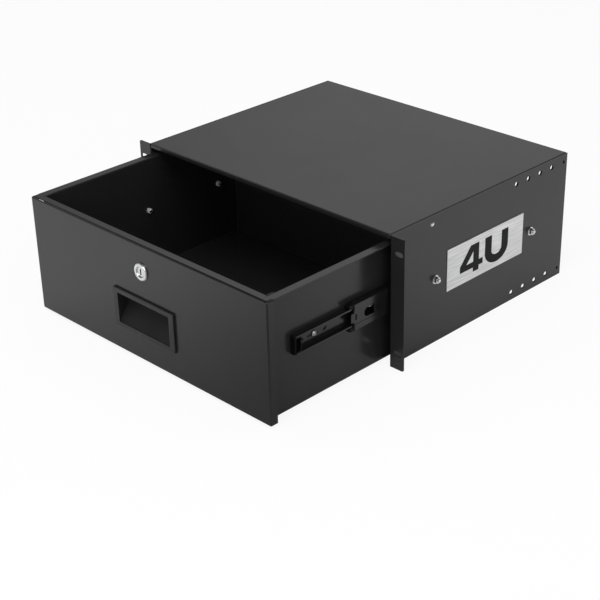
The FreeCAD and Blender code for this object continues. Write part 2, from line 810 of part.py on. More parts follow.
def lance(sketch, middle):
    """A D shaped opening where the rail's web is lanced, flat on top."""
    outline(sketch, [
        (f"{middle} - lance_length / 2", "lance_height / 2"),
        (f"{middle} - lance_length / 2", "0"),
        (f"{middle} - lance_length / 4", "-lance_height / 2"),
        (f"{middle} + lance_length / 4", "-lance_height / 2"),
        (f"{middle} + lance_length / 2", "0"),
        (f"{middle} + lance_length / 2", "lance_height / 2"),
    ])


def ball_cage(label, share, web, ball, away, height):
    """Thin U shaped strip with a hole for each ball in both legs."""
    body = new_body(label)
    start = "slide_setback + cage_lead"
    reach = f"{away} + ({ball}) / 2 + cage_gauge"
    strip = new_sketch(body, "XZ", from_wall(reach), start, "slide_axis_z")
    rectangle(strip, f"{reach} - ({web})", f"2 * ({height}) + cage_gauge", "0", f"-({height}) - cage_gauge / 2")
    pad(body, strip, "cage_length", backwards=True)
    hollow = new_sketch(body, "XZ", from_wall(reach), start, "slide_axis_z")
    rectangle(
        hollow,
        f"{reach} - ({web}) - cage_gauge",
        f"2 * ({height}) - cage_gauge",
        "0",
        f"-({height}) + cage_gauge / 2",
    )
    pocket(body, hollow)
    window = new_sketch(body, "YZ", "0", start, "slide_axis_z")
    rectangle(window, "cage_length - 2 * cage_bridge", f"({height}) * 1.6", "cage_bridge", f"-({height}) * 0.8")
    pocket(body, window)
    seats = new_sketch(body, "XY", from_wall(away), start, "0")
    circle(seats, f"{ball} + track_fit", "0", "(cage_length - 3 * ball_pitch) / 2")
    cut = pocket(body, seats)
    pattern(body, cut, "Y", "ball_pitch", 4)
    return move_forward(body, share)


def ball_row(label, share, ball, away, height):
    """Balls of one cage, above and below the slide's axis."""
    body = new_body(label)
    start = "slide_setback + cage_lead + (cage_length - 3 * ball_pitch) / 2"
    turned = []
    for up in (height, negative(height)):
        half = new_sketch(body, "XY", from_wall(away), start, f"slide_axis_z + {up}")
        arc = half.addGeometry(Part.ArcOfCircle(Part.Circle(V(0, 0, 0), V(0, 0, 1), 2), 0, math.pi), False)
        line = half.addGeometry(Part.LineSegment(V(-2, 0, 0), V(2, 0, 0)), False)
        half.addConstraint(Sketcher.Constraint("Coincident", arc, 2, line, 1))
        half.addConstraint(Sketcher.Constraint("Coincident", arc, 1, line, 2))
        half.addConstraint(Sketcher.Constraint("Coincident", arc, 3, -1, 1))
        half.addConstraint(Sketcher.Constraint("PointOnObject", arc, 1, -1))
        half.addConstraint(Sketcher.Constraint("PointOnObject", arc, 2, -1))
        constrain(half, "radius", f"{ball} / 2", "Radius", arc, 2.0)
        turned.append(revolve(body, half))
    pattern(body, turned, "Y", "ball_pitch", 4)
    return move_forward(body, share)


def rear_bumper():
    """Rubber block at the rear end of the case rail, which the closed drawer rests against."""
    body = new_body("right_slide_rear_bumper")
    block = new_sketch(
        body,
        "XZ",
        from_wall("inner_near"),
        "slide_setback + slide_length - bumper_length",
        "slide_axis_z - bumper_height / 2",
    )
    rectangle(block, "inner_near - slide_gauge", "bumper_height")
    pad(body, block, "bumper_length", backwards=True)
    return body


def front_stop():
    """Plastic stop in front of the middle rail: two feet on a thin plate hooked into the web."""
    body = new_body("right_slide_front_stop")
    plate = new_sketch(body, "YZ", from_wall("stop_tongue"), "slide_setback", "slide_axis_z")
    half = "middle_half - stop_drop"
    outline(plate, [
        ("-stop_link", half),
        ("-stop_link", negative(half)),
        ("0", negative(half)),
        ("0", "-stop_height / 2"),
        ("stop_length", "-stop_height / 2"),
        ("stop_length", "stop_height / 2"),
        ("0", "stop_height / 2"),
        ("0", half),
    ])
    pad(body, plate, "cage_gauge")
    free = "inner_half + stop_clearance"
    feet = new_sketch(body, "XZ", from_wall("middle_far"), "slide_setback", "slide_axis_z")
    for low in (free, negative(half)):
        rectangle(feet, "middle_depth - slide_gauge", f"{half} - ({free})", "0", low)
    pad(body, feet, "stop_lead")
    round_rim(body, size("slide_setback") - size("stop_lead"), "stop_round")
    hook = new_sketch(body, "YZ", from_wall("middle_offset + slide_gauge"), "slide_setback", "slide_axis_z")
    length = "hook_length - 2 * hook_fit"
    height = "hook_height - 2 * hook_fit"
    rectangle(hook, length, height, "hook_length / 2 + hook_fit", f"-({height}) / 2")
    pad(body, hook, "slide_gauge - bead_depth")
    return move_forward(body, 0.5, "middle_lead")


def end_cap():
    """Plastic cap in the front end of the drawer rail, its face before the rail's end."""
    body = new_body("right_slide_end_cap")
    face = new_sketch(body, "XZ", "drawer_half", "slide_setback", "slide_axis_z")
    half = "inner_half - cap_fit"
    outline(face, [
        ("0", negative(half)),
        ("inner_depth - cap_bevel", negative(half)),
        ("inner_depth", f"cap_bevel - ({half})"),
        ("inner_depth", f"{half} - cap_bevel"),
        ("inner_depth - cap_bevel", half),
        ("0", half),
    ])
    pad(body, face, "cap_face")
    plug = new_sketch(body, "XZ", "drawer_half + slide_gauge", "slide_setback", "slide_axis_z")
    inside = "inner_inside - cap_fit"
    rectangle(plug, "inner_depth - slide_gauge", f"2 * ({inside})", "0", negative(inside))
    pad(body, plug, "cap_length", backwards=True)
    low = size("slide_axis_z") - size("inner_inside") + size("cap_fit")
    high = size("slide_axis_z") + size("inner_inside") - size("cap_fit")
    root = size("drawer_half") + size("slide_gauge")
    at_bend = lambda p: close(p.x, root) and (close(p.z, low) or close(p.z, high))
    round_edges(body, at_bend, "bend_inside", ALONG_Y)
    hollow = new_sketch(body, "YZ", "drawer_half + inner_depth", "slide_setback", "slide_axis_z")
    room = "inner_inside - cap_fit - cap_wall"
    length = "cap_face + cap_length - 2 * cap_wall"
    rectangle(hollow, length, f"2 * ({room})", "cap_wall - cap_face", negative(room))
    pocket(body, hollow, "inner_depth - slide_gauge - cap_wall")
    return move_forward(body, 1)


def slide_bolts():
    """Flat head bolts through the case rails and the side panels, with their ends outside."""
    body = new_body("slide_bolts")
    half = new_sketch(body, "XY", from_wall("slide_gauge"), "slide_setback + first_hole", "slide_axis_z")
    stand = "slide_gauge + case_gauge + washer_thick + bolt_nut_thick + bolt_end"
    outline(half, [
        ("0", "0"),
        (stand, "0"),
        (stand, "bolt / 2 - bolt_bevel"),
        (f"{stand} - bolt_bevel", "bolt / 2"),
        ("slide_gauge", "bolt / 2"),
        ("0", "(bolt_head - bolt_hole_fit) / 2"),
    ])
    turned = revolve(body, half)
    pattern(body, turned, "Y", f"{CASE_HOLE} * hole_pitch", 2)
    doubled(body)
    return body


def doubled(body):
    """All solids of the body again on the left side."""
    copy = body.newObject("PartDesign::Mirrored", body.Label + "_left")
    copy.Originals = []
    copy.TransformMode = "Whole shape"
    copy.MirrorPlane = (origin_part(body, "YZ_Plane"), [""])
    return finish_step(body, copy)


def ring_row(label, x, outside, hole, thick, first, steps, free_face=None):
    """Washers in a row on the slide's axis on both sides, or nuts if they have a free face."""
    body = new_body(label)
    ring = new_sketch(body, "YZ", x, first, "slide_axis_z")
    for number in steps:
        middle = f"{number} * hole_pitch"
        if free_face:
            corner = f"({outside}) / 3 ^ 0.5"
            outline(ring, [
                (f"{middle} + {outside} / 2", f"-{corner} / 2"),
                (f"{middle} + {outside} / 2", f"{corner} / 2"),
                (middle, corner),
                (f"{middle} - {outside} / 2", f"{corner} / 2"),
                (f"{middle} - {outside} / 2", f"-{corner} / 2"),
                (middle, f"-{corner}"),
            ])
        else:
            circle(ring, outside, middle)
        circle(ring, hole, middle)
    pad(body, ring, thick)
    if free_face:
        for number in steps:
            bevel_nut(body, x, f"{first} + {number} * hole_pitch", outside, thick, free_face)
    doubled(body)
    return body


def bevel_nut(body, x, y, across, thick, free_face):
    """Turn the corners off a nut's free face, which is its outer or its inner one."""
    face, inward = {"outer": (f"{x} + {thick}", "-nut_bevel"), "inner": (x, "nut_bevel")}[free_face]
    wedge = new_sketch(body, "XY", face, y, "slide_axis_z")
    flat = f"({across}) / 2"
    outline(wedge, [
        ("0", flat),
        ("0", f"{flat} + 2 * nut_bevel"),
        (inward, f"{flat} + 2 * nut_bevel"),
    ])
    turned_cut(body, wedge)


def slide_washers():
    """Washers outside the side panels."""
    return ring_row(
        "slide_washers", "half_case", "washer", "bolt", "washer_thick", "slide_setback + first_hole", (0, CASE_HOLE))


def slide_nuts():
    """Hexagon nuts outside the side panels."""
    return ring_row(
        "slide_nuts",
        "half_case + washer_thick",
        "bolt_nut_across",
        "bolt",
        "bolt_nut_thick",
        "slide_setback + first_hole",
        (0, CASE_HOLE),
        "outer",
    )


def drawer_screws():
    """Pan head screws in the drawer rails, through the drawer walls."""
    body = new_body("drawer_screws")
    for steps in DRAWER_HOLES:
        half = new_sketch(
            body, "XY", "drawer_half + slide_gauge", f"slide_setback + first_hole + {steps} * hole_pitch", "slide_axis_z")
        tail = "slide_gauge + drawer_gauge + screw_nut_thick + screw_end"
        outline(half, [
            (f"-({tail})", "0"),
            (f"-({tail})", "screw / 2"),
            ("0", "screw / 2"),
            ("0", "screw_head / 2"),
            ("screw_head_tall / 2", "screw_head / 2"),
            ("screw_head_tall", "screw_head / 4"),
            ("screw_head_tall", "0"),
        ])
        revolve(body, half)
    recesses = new_sketch(
        body, "YZ", "drawer_half + slide_gauge + screw_head_tall", "slide_setback + first_hole", "slide_axis_z")
    for steps in DRAWER_HOLES:
        cross(recesses, f"{steps} * hole_pitch")
    pocket(body, recesses, "screw_cross_deep")
    doubled(body)
    return move_forward(body, 1)


def cross(sketch, middle):
    """The cross recess of a screw head, as one outline."""
    long = "screw_cross / 2"
    thin = "screw_cross_slot / 2"
    quarter = [(long, thin), (thin, thin), (thin, long)]
    turns = (("", "", False), ("-", "", True), ("-", "-", False), ("", "-", True))
    points = []
    for side, end, flipped in turns:
        corners = reversed(quarter) if flipped else quarter
        points += [(f"{middle} + ({side}{across})", f"{end}{up}") for across, up in corners]
    outline(sketch, points)


def drawer_nuts():
    """Hexagon nuts inside the drawer."""
    body = ring_row(
        "drawer_nuts",
        "drawer_inside - screw_nut_thick",
        "screw_nut_across",
        "screw",
        "screw_nut_thick",
        "slide_setback + first_hole",
        DRAWER_HOLES,
        "inner",
    )
    return move_forward(body, 1)


# Drawer

def drawer_tray():
    """Floor, side walls and rims turned out over the slides, folded from one sheet."""
    body = new_body("drawer_tray")
    run = "drawer_length - front_depth"
    low = ("-drawer_half", "front_depth", "drawer_bottom")
    folded_box(body, low, ("2 * drawer_half", run, "drawer_height"), "drawer_gauge", ["-y", "+y", "+z"])
    rim = new_sketch(body, "XZ", "drawer_inside", "front_depth", "drawer_top - drawer_gauge")
    rectangle(rim, "rim_half - drawer_inside", "drawer_gauge")
    rims = pad(body, rim, run, backwards=True)
    mirror(body, [rims], "YZ")
    inside = size("drawer_inside")
    wall = size("drawer_half")
    high = size("drawer_top")
    under = high - size("drawer_gauge")
    round_edges(body, lambda p: close(abs(p.x), inside) and close(p.z, high), "drawer_bend", ALONG_Y)
    round_edges(body, lambda p: close(abs(p.x), wall) and close(p.z, under), "bend_inside", ALONG_Y)
    holes = new_sketch(body, "YZ", "0", "slide_setback + first_hole", "slide_axis_z")
    for steps in DRAWER_HOLES:
        circle(holes, "screw_hole", f"{steps} * hole_pitch")
    pocket(body, holes)
    return move_forward(body, 1)


def drawer_back():
    """Rear wall with flanges turned forward inside the tray."""
    body = new_body("drawer_back")
    low = ("-drawer_inside", "drawer_length - wall_flange", "drawer_bottom + drawer_gauge")
    lengths = ("2 * drawer_inside", "wall_flange", "drawer_height - drawer_gauge")
    folded_box(body, low, lengths, "drawer_gauge", ["-y"])
    return move_forward(body, 1)


def pull_opening(body, fit):
    """Cut the rectangle that the flush pull's body passes through."""
    window = new_sketch(body, "XZ", "0", "0", "pull_middle_z")
    width = f"pull_body_length + 2 * ({fit})"
    height = f"pull_body_height + 2 * ({fit})"
    rectangle(window, width, height, f"-({width}) / 2", f"-({height}) / 2")
    pocket(body, window)


def lock_opening(body):
    """Cut the round hole with two flats that keeps the lock from turning."""
    hole = new_sketch(body, "XZ", "0", "0", "lock_z")
    flat_sided(hole, "lock_body + lock_hole_fit", "lock_flat + lock_hole_fit")
    pocket(body, hole)


def flat_sided(sketch, diameter, across):
    """A circle with an upright flat on each side."""
    start = math.pi / 6
    round_one = Part.Circle(V(0, 0, 0), V(0, 0, 1), 1)
    top = sketch.addGeometry(Part.ArcOfCircle(round_one, start, math.pi - start), False)
    low = sketch.addGeometry(Part.ArcOfCircle(round_one, math.pi + start, 2 * math.pi - start), False)
    edge = math.cos(start)
    rise = math.sin(start)
    left = sketch.addGeometry(Part.LineSegment(V(-edge, rise, 0), V(-edge, -rise, 0)), False)
    right = sketch.addGeometry(Part.LineSegment(V(edge, -rise, 0), V(edge, rise, 0)), False)
    for one, other in ((top, left), (left, low), (low, right), (right, top)):
        sketch.addConstraint(Sketcher.Constraint("Coincident", one, 2, other, 1))
    for arc in (top, low):
        sketch.addConstraint(Sketcher.Constraint("Coincident", arc, 3, -1, 1))
    sketch.addConstraint(Sketcher.Constraint("Equal", top, low))
    for line in (left, right):
        sketch.addConstraint(Sketcher.Constraint("Vertical", line))
    constrain(sketch, "radius", f"({diameter}) / 2", "Radius", top, 1.0)
    constrain(sketch, "left", f"-({across}) / 2", "DistanceX", -1, 1, left, 1, -edge)
    constrain(sketch, "right", f"({across}) / 2", "DistanceX", -1, 1, right, 1, edge)


def drawer_inner_front():
    """Inner skin of the front wall, flanged back at the floor and sides and forward at the top."""
    body = new_body("drawer_inner_front")
    low = ("-drawer_inside", "front_depth", "drawer_bottom + drawer_gauge")
    lengths = ("2 * drawer_inside", "wall_flange", "drawer_height - drawer_gauge")
    folded_box(body, low, lengths, "drawer_gauge", ["+y", "+z"])
    reach = "front_half - drawer_bend - front_seam"
    ledge = new_sketch(body, "XY", negative(reach), "drawer_gauge + front_seam", "drawer_top - drawer_gauge")
    rectangle(ledge, f"2 * ({reach})", "front_depth - drawer_gauge - front_seam")
    pad(body, ledge, "drawer_gauge")
    pull_opening(body, "2 * pull_fit")
    lock_opening(body)
    return move_forward(body, 1)


def drawer_front_panel():
    """Outer skin of the front, a shallow pan whose edges turn back except at the top."""
    body = new_body("drawer_front_panel")
    low = ("-front_half", "0", "drawer_bottom")
    folded_box(body, low, ("2 * front_half", "front_depth", "drawer_height"), "drawer_gauge", ["+y"])
    reach = "front_half - drawer_bend"
    trim = new_sketch(body, "XY", negative(reach), "drawer_gauge", "drawer_top - drawer_bend")
    rectangle(trim, f"2 * ({reach})", "front_depth - drawer_gauge")
    pocket(body, trim, "drawer_bend", backwards=True)
    pull_opening(body, "pull_fit")
    lock_opening(body)
    return move_forward(body, 1)


# Flush pull

def scoop(sketch, front, foot, depth, half, back):
    """Side view of the pull's hollow: a level roof, a short back and a floor sloping to the front."""
    outline(sketch, [
        (front, half),
        (depth, half),
        (depth, f"{half} - ({back})"),
        (foot, negative(half)),
        (front, negative(half)),
    ])
    return sketch


def flush_pull():
    """Moulded finger pull with a raised bezel and a scooped hollow."""
    body = new_body("flush_pull")
    bezel = new_sketch(body, "XZ", "0", "0", "pull_middle_z")
    rectangle(bezel, "pull_length", "pull_height", "-pull_length / 2", "-pull_height / 2")
    pad(body, bezel, "pull_proud")
    round_edges(body, lambda p: True, "pull_corner", ALONG_Y)
    round_rim(body, -size("pull_proud"), "pull_corner / 2")
    cup = new_sketch(body, "YZ", "-pull_body_length / 2", "0", "pull_middle_z")
    scoop(cup, "0", "pull_wall", "pull_depth + pull_wall", "pull_body_height / 2", "pull_back_wall + pull_wall")
    pad(body, cup, "pull_body_length")
    deep = size("pull_depth") + size("pull_wall")
    round_edges(body, lambda p: close(p.y, deep), "pull_back_round", ALONG_X)
    hollow = new_sketch(body, "YZ", "pull_mouth_length / 2", "0", "pull_middle_z")
    foot = "pull_lower_lip - pull_proud"
    scoop(hollow, "-pull_proud", foot, "pull_depth", "pull_mouth_height / 2", "pull_back_wall")
    pocket(body, hollow, "pull_mouth_length")
    roof = size("pull_middle_z") + size("pull_mouth_height") / 2
    deepest = size("pull_depth")
    round_edges(body, lambda p: close(p.y, deepest) and p.z < roof - 1, "pull_back_round", ALONG_X)
    return move_forward(body, 1)


# Lock

def lock_housing():
    """Round housing with a bevelled flange in front and a bore for the plug."""
    body = new_body("lock_housing")
    half = new_sketch(body, "XY", "0", "0", "lock_z")
    outline(half, [
        ("plug / 2 + plug_fit", "lock_dish - lock_proud"),
        ("plug / 2 + plug_fit + lock_dish", "-lock_proud"),
        ("lock_flange / 2 - lock_face_bevel", "-lock_proud"),
        ("lock_flange / 2", "-lock_proud + lock_face_bevel"),
        ("lock_flange / 2", "0"),
        ("lock_body / 2", "0"),
        ("lock_body / 2", "lock_back"),
        ("plug / 2 + plug_fit", "lock_back"),
    ])
    revolve(body, half, "V_Axis")
    flats = new_sketch(body, "XZ", "0", "0", "lock_z")
    for left in ("lock_flat / 2", negative("lock_flat / 2 + lock_body")):
        rectangle(flats, "lock_body", "2 * lock_body", left, "-lock_body")
    pocket(body, flats, "lock_back")
    return move_forward(body, 1)


def lock_nut():
    """Hexagon nut that clamps both skins of the front wall."""
    body = new_body("lock_nut")
    ring = new_sketch(body, "XZ", "0", "inner_front_back", "lock_z")
    corner = "lock_nut_across / 3 ^ 0.5"
    outline(ring, [
        ("lock_nut_across / 2", f"-{corner} / 2"),
        ("lock_nut_across / 2", f"{corner} / 2"),
        ("0", corner),
        ("-lock_nut_across / 2", f"{corner} / 2"),
        ("-lock_nut_across / 2", f"-{corner} / 2"),
        ("0", f"-{corner}"),
    ])
    circle(ring, "lock_body")
    pad(body, ring, "lock_nut_thick", backwards=True)
    return move_forward(body, 1)


def lock_plug():
    """Turning barrel with the keyway in front and a tail that carries the cam."""
    body = new_body("lock_plug")
    half = new_sketch(body, "XY", "0", "0", "lock_z")
    outline(half, [
        ("0", "plug_recess - lock_proud"),
        ("plug / 2", "plug_recess - lock_proud"),
        ("plug / 2", "cam_front"),
        ("plug / 3", "cam_front"),
        ("plug / 3", "cam_back"),
        ("0", "cam_back"),
    ])
    revolve(body, half, "V_Axis")
    keyway = new_sketch(body, "XZ", "0", "plug_recess - lock_proud", "lock_z")
    rectangle(keyway, "keyway_wide", "keyway_tall", "-keyway_wide / 2", "-keyway_tall / 2")
    pocket(body, keyway, "keyway_deep")
    thread = new_sketch(body, "XZ", "0", "cam_back", "lock_z")
    circle(thread, "cam_screw_shank")
    pocket(body, thread, "cam_screw_depth", backwards=True)
    return move_forward(body, 1)


def lock_cam():
    """Flat tongue on the plug's tail, lying level while the lock is open."""
    body = new_body("lock_cam")
    hub = new_sketch(body, "XZ", "0", "cam_front", "lock_z")
    circle(hub, "cam_root")
    pad(body, hub, "cam_gauge", backwards=True)
    arm = new_sketch(body, "XZ", "0", "cam_front", "lock_z")
    outline(arm, [
        ("0", "-cam_root / 2"),
        ("0", "cam_root / 2"),
        ("-cam_length", "cam_tip / 2"),
        ("-cam_length", "-cam_tip / 2"),
    ])
    pad(body, arm, "cam_gauge", backwards=True)
    tip = -size("cam_length")
    round_edges(body, lambda p: close(p.x, tip), "cam_tip_round", ALONG_Y)
    bore = new_sketch(body, "XZ", "0", "0", "lock_z")
    circle(bore, "2 * plug / 3")
    pocket(body, bore)
    return move_forward(body, 1)


def cam_screw():
    """Screw that holds the cam on the plug."""
    body = new_body("cam_screw")
    half = new_sketch(body, "XY", "0", "cam_back", "lock_z")
    outline(half, [
        ("0", "-cam_screw_depth + bend_inside"),
        ("cam_screw_shank / 2", "-cam_screw_depth + bend_inside"),
        ("cam_screw_shank / 2", "0"),
        ("cam_screw_head / 2", "0"),
        ("cam_screw_head / 2", "cam_screw_tall - cam_screw_bevel"),
        ("cam_screw_head / 2 - cam_screw_bevel", "cam_screw_tall"),
        ("0", "cam_screw_tall"),
    ])
    revolve(body, half, "V_Axis")
    return move_forward(body, 1)


# Keys

# Depth of each cut in a blade, as a share of the deepest
KEY_CUTS = (0.6, 1.0, 0.4, 0.8)


def key_floor():
    """Height of the drawer's floor."""
    return "drawer_bottom + drawer_gauge"


def key_blades():
    """Two flat key blades with cut edges, seated in their heads."""
    body = new_body("key_blades")
    low = f"{key_floor()} + (key_head_thick - key_gauge) / 2"
    blade = new_sketch(body, "XY", "key_x", "key_y", low)
    for step in ("0", "key_spacing"):
        edge = f"{step} + key_blade_wide / 2"
        cuts = []
        for number, deep in enumerate(KEY_CUTS):
            start = f"key_first_cut + {number} * key_cut_pitch"
            floor = f"{edge} - {deep} * key_cut_depth"
            cuts += [(edge, start), (floor, f"{start} + key_cut_pitch / 3")]
            cuts += [(floor, f"{start} + 2 * key_cut_pitch / 3")]
        outline(blade, [
            (f"{step} - key_blade_wide / 2", "-key_tang"),
            (edge, "-key_tang"),
            *cuts,
            (edge, f"key_first_cut + {len(KEY_CUTS)} * key_cut_pitch"),
            (edge, "key_blade_length - key_blade_tip"),
            (step, "key_blade_length"),
            (f"{step} - key_blade_wide / 2", "key_blade_length - key_blade_tip"),
        ])
    pad(body, blade, "key_gauge")
    return move_forward(body, 1)


def key_heads():
    """Moulded heads of the keys, each with a hole for a ring."""
    body = new_body("key_heads")
    head = new_sketch(body, "XY", "key_x", "key_y", key_floor())
    for step in ("0", "key_spacing"):
        outline(head, [
            (f"{step} - key_head_neck / 2", "0"),
            (f"{step} - key_head_wide / 2", "-key_head_shoulder"),
            (f"{step} - key_head_wide / 2", "key_head_shoulder - key_head_length"),
            (f"{step} - key_head_neck / 2", "-key_head_length"),
            (f"{step} + key_head_neck / 2", "-key_head_length"),
            (f"{step} + key_head_wide / 2", "key_head_shoulder - key_head_length"),
            (f"{step} + key_head_wide / 2", "-key_head_shoulder"),
            (f"{step} + key_head_neck / 2", "0"),
        ])
    pad(body, head, "key_head_thick")
    round_edges(body, lambda p: True, "key_head_corner", ALONG_Z)
    holes = new_sketch(body, "XY", "key_x", "key_y", key_floor())
    for step in ("0", "key_spacing"):
        circle(holes, "key_ring_hole", step, "-key_head_length + key_ring_setback")
    pocket(body, holes)
    slots = new_sketch(body, "XZ", "key_x", "key_y", f"{key_floor()} + (key_head_thick - key_gauge) / 2")
    for step in ("0", "key_spacing"):
        rectangle(slots, "key_blade_wide", "key_gauge", f"{step} - key_blade_wide / 2")
    pocket(body, slots, "key_tang", backwards=True)
    return move_forward(body, 1)


def build_all():
    """Every sub-part, in the order of assembly."""
    fill_sheet()
    right = [right_side_panel(), slide_outer_member(), rear_bumper(), slide_middle_member(), front_stop()]
    right += [slide_inner_member(), end_cap()]
    right.append(ball_cage(
        "right_outer_ball_cage", 0.25, "outer_cage_web", "outer_ball", "outer_ball_from_web", "outer_ball_z"))
    right.append(ball_row("right_outer_balls", 0.25, "outer_ball", "outer_ball_from_web", "outer_ball_z"))
    right.append(ball_cage(
        "right_inner_ball_cage", 0.75, "inner_cage_web", "inner_ball", "inner_ball_from_web", "inner_ball_z"))
    right.append(ball_row("right_inner_balls", 0.75, "inner_ball", "inner_ball_from_web", "inner_ball_z"))
    doc.recompute()
    left = [other_side(body, body.Label.replace("right_", "left_")) for body in right]
    single = [
        top_cover(), rear_brace(), lock_striker(), size_plate(), cover_rivets(),
        slide_bolts(), slide_washers(), slide_nuts(), drawer_screws(), drawer_nuts(),
        drawer_tray(), drawer_back(), drawer_inner_front(), drawer_front_panel(), flush_pull(),
        lock_housing(), lock_nut(), lock_plug(), lock_cam(), cam_screw(), key_blades(), key_heads(),
    ]
    doc.recompute()
    return right + left + single


def check_and_export(parts):
    """Stop on any failed object, then write one file for each sub-part."""
    for item in doc.Objects:
        if "Invalid" in item.State or "Error" in item.State:
            raise RuntimeError("failed: " + item.Label)
    for part in parts:
        if part.Shape.isNull() or not part.Shape.isValid():
            raise RuntimeError("bad shape: " + part.Label)
    os.makedirs("parts", exist_ok=True)
    for part in parts:
        part.Shape.exportStep(os.path.join("parts", part.Label + ".step"))
        box = part.Shape.BoundBox
        print(f"{part.Label}: {len(part.Shape.Solids)} solids, X {box.XMin:.1f} to {box.XMax:.1f}, "
              f"Y {box.YMin:.1f} to {box.YMax:.1f}, Z {box.ZMin:.1f} to {box.ZMax:.1f}")


check_and_export(build_all())
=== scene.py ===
"""Looks of the lockable sliding rack drawer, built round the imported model."""

from dataclasses import dataclass, field
from enum import Enum
import json
import logging
import math

import bmesh
import bpy
from mathutils import Matrix, Vector


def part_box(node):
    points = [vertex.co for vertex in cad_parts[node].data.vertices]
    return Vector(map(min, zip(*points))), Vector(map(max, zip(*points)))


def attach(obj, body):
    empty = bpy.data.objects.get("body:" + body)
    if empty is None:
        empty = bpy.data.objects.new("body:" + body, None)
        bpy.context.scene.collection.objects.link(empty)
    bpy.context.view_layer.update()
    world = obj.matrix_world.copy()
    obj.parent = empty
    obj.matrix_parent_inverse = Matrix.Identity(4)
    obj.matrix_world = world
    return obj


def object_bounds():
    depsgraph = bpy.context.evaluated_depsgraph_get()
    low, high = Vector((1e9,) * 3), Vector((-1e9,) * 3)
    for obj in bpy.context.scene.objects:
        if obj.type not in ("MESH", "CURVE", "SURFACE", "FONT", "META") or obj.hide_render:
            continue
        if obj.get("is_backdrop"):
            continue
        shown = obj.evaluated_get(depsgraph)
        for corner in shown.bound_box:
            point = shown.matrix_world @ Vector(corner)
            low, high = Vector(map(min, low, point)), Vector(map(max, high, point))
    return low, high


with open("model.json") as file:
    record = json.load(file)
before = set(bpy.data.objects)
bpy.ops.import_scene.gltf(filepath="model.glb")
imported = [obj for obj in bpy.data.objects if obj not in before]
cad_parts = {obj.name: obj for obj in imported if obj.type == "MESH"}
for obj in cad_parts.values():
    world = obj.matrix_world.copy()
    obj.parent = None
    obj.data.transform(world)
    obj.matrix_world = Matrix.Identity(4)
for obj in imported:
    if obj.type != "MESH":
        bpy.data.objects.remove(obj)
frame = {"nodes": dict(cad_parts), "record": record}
log = logging.getLogger("rack_drawer")

MM = 0.001
QUARTER_TURN = math.pi / 2

# Where the pairs of digits of a hex colour start, and the largest value of a pair
HEX_STARTS = (1, 3, 5)
BYTE_TOP = 255
# The sRGB curve: a straight foot up to the knee, and a power above it
SRGB_KNEE = 0.04045
SRGB_SLOPE = 12.92
SRGB_LIFT = 0.055
SRGB_POWER = 2.4
WHITE = "#ffffff"

# The octaves of the fine and of the wide noise, and the values that noise mostly takes
GRAIN_DETAIL = 3.0
CLOUD_DETAIL = 2.0
NOISE_LOW = 0.3
NOISE_MIDDLE = 0.5
NOISE_HIGH = 0.7

# Sockets of Blender's Mix node when it mixes colours: several share a name
MIX_SHARE = 0
MIX_FIRST = 6
MIX_SECOND = 7
MIX_RESULT = 2

# Stands a flat drawing up to face +X: its X runs to the rear and its Y runs up
FACING_RIGHT = Matrix(((0, 0, 1, 0), (1, 0, 0, 0), (0, 1, 0, 0), (0, 0, 0, 1)))


class Rides(Enum):
    """The bodies that made pieces ride on, by their names in the frame."""

    CASE = "case"
    DRAWER = "drawer"


def linear(code: str) -> tuple[float, float, float, float]:
    """Turns an sRGB hex colour into a linear one.

    Args:
        code: The colour, such as "#1a1a1a".

    Returns:
        Red, green, blue and alpha, linear.
    """
    shares = [int(code[start : start + 2], 16) / BYTE_TOP for start in HEX_STARTS]
    red, green, blue = (
        share / SRGB_SLOPE
        if share <= SRGB_KNEE
        else ((share + SRGB_LIFT) / (1 + SRGB_LIFT)) ** SRGB_POWER
        for share in shares
    )
    return red, green, blue, 1.0


def cleared_tree(owner: bpy.types.Material | bpy.types.World) -> bpy.types.NodeTree:
    """Gives a material or a world an empty node tree.

    Args:
        owner: The material or world.

    Returns:
        Its tree.
    """
    owner.use_nodes = True
    owner.node_tree.nodes.clear()
    return owner.node_tree


def add_node(
    tree: bpy.types.NodeTree, kind: str, inputs: dict | None = None, **settings: object
) -> bpy.types.Node:
    """Adds a node with its settings and links.

    Args:
        tree: The node tree that gets the node.
        kind: Blender's name for the kind of node.
        inputs: Socket name or number, and the value or the output socket that feeds it.
        settings: The node's own settings.

    Returns:
        The new node.
    """
    node = tree.nodes.new(kind)
    for name, value in settings.items():
        setattr(node, name, value)
    for name, value in (inputs or {}).items():
        if isinstance(value, bpy.types.NodeSocket):
            tree.links.new(value, node.inputs[name])
        else:
            node.inputs[name].default_value = value
    return node


def noise(
    tree: bpy.types.NodeTree, run: bpy.types.NodeSocket, width: float, detail: float
) -> bpy.types.NodeSocket:
    """Makes a noise with a real size.

    Args:
        tree: The material's tree.
        run: The coordinates it runs in.
        width: How wide one feature is, in mm.
        detail: How many octaves it has.

    Returns:
        The socket of its value.
    """
    scale = 1 / (width * MM)
    inputs = {"Vector": run, "Scale": scale, "Detail": detail}
    return add_node(tree, "ShaderNodeTexNoise", inputs).outputs[0]


def remap(
    tree: bpy.types.NodeTree,
    value: bpy.types.NodeSocket,
    start: float,
    end: float,
    low: float = 0.0,
    high: float = 1.0,
    curve: str = "LINEAR",
) -> bpy.types.NodeSocket:
    """Maps one range of a value to another, and holds it at the ends.

    Args:
        tree: The tree that gets the node.
        value: The socket of the value.
        start: Where the value's range starts.
        end: Where the value's range ends.
        low: The result at the start.
        high: The result at the end.
        curve: Blender's name for the course between the two.

    Returns:
        The socket of the result.
    """
    return add_node(
        tree,
        "ShaderNodeMapRange",
        {
            "Value": value,
            "From Min": start,
            "From Max": end,
            "To Min": low,
            "To Max": high,
        },
        interpolation_type=curve,
    ).outputs[0]


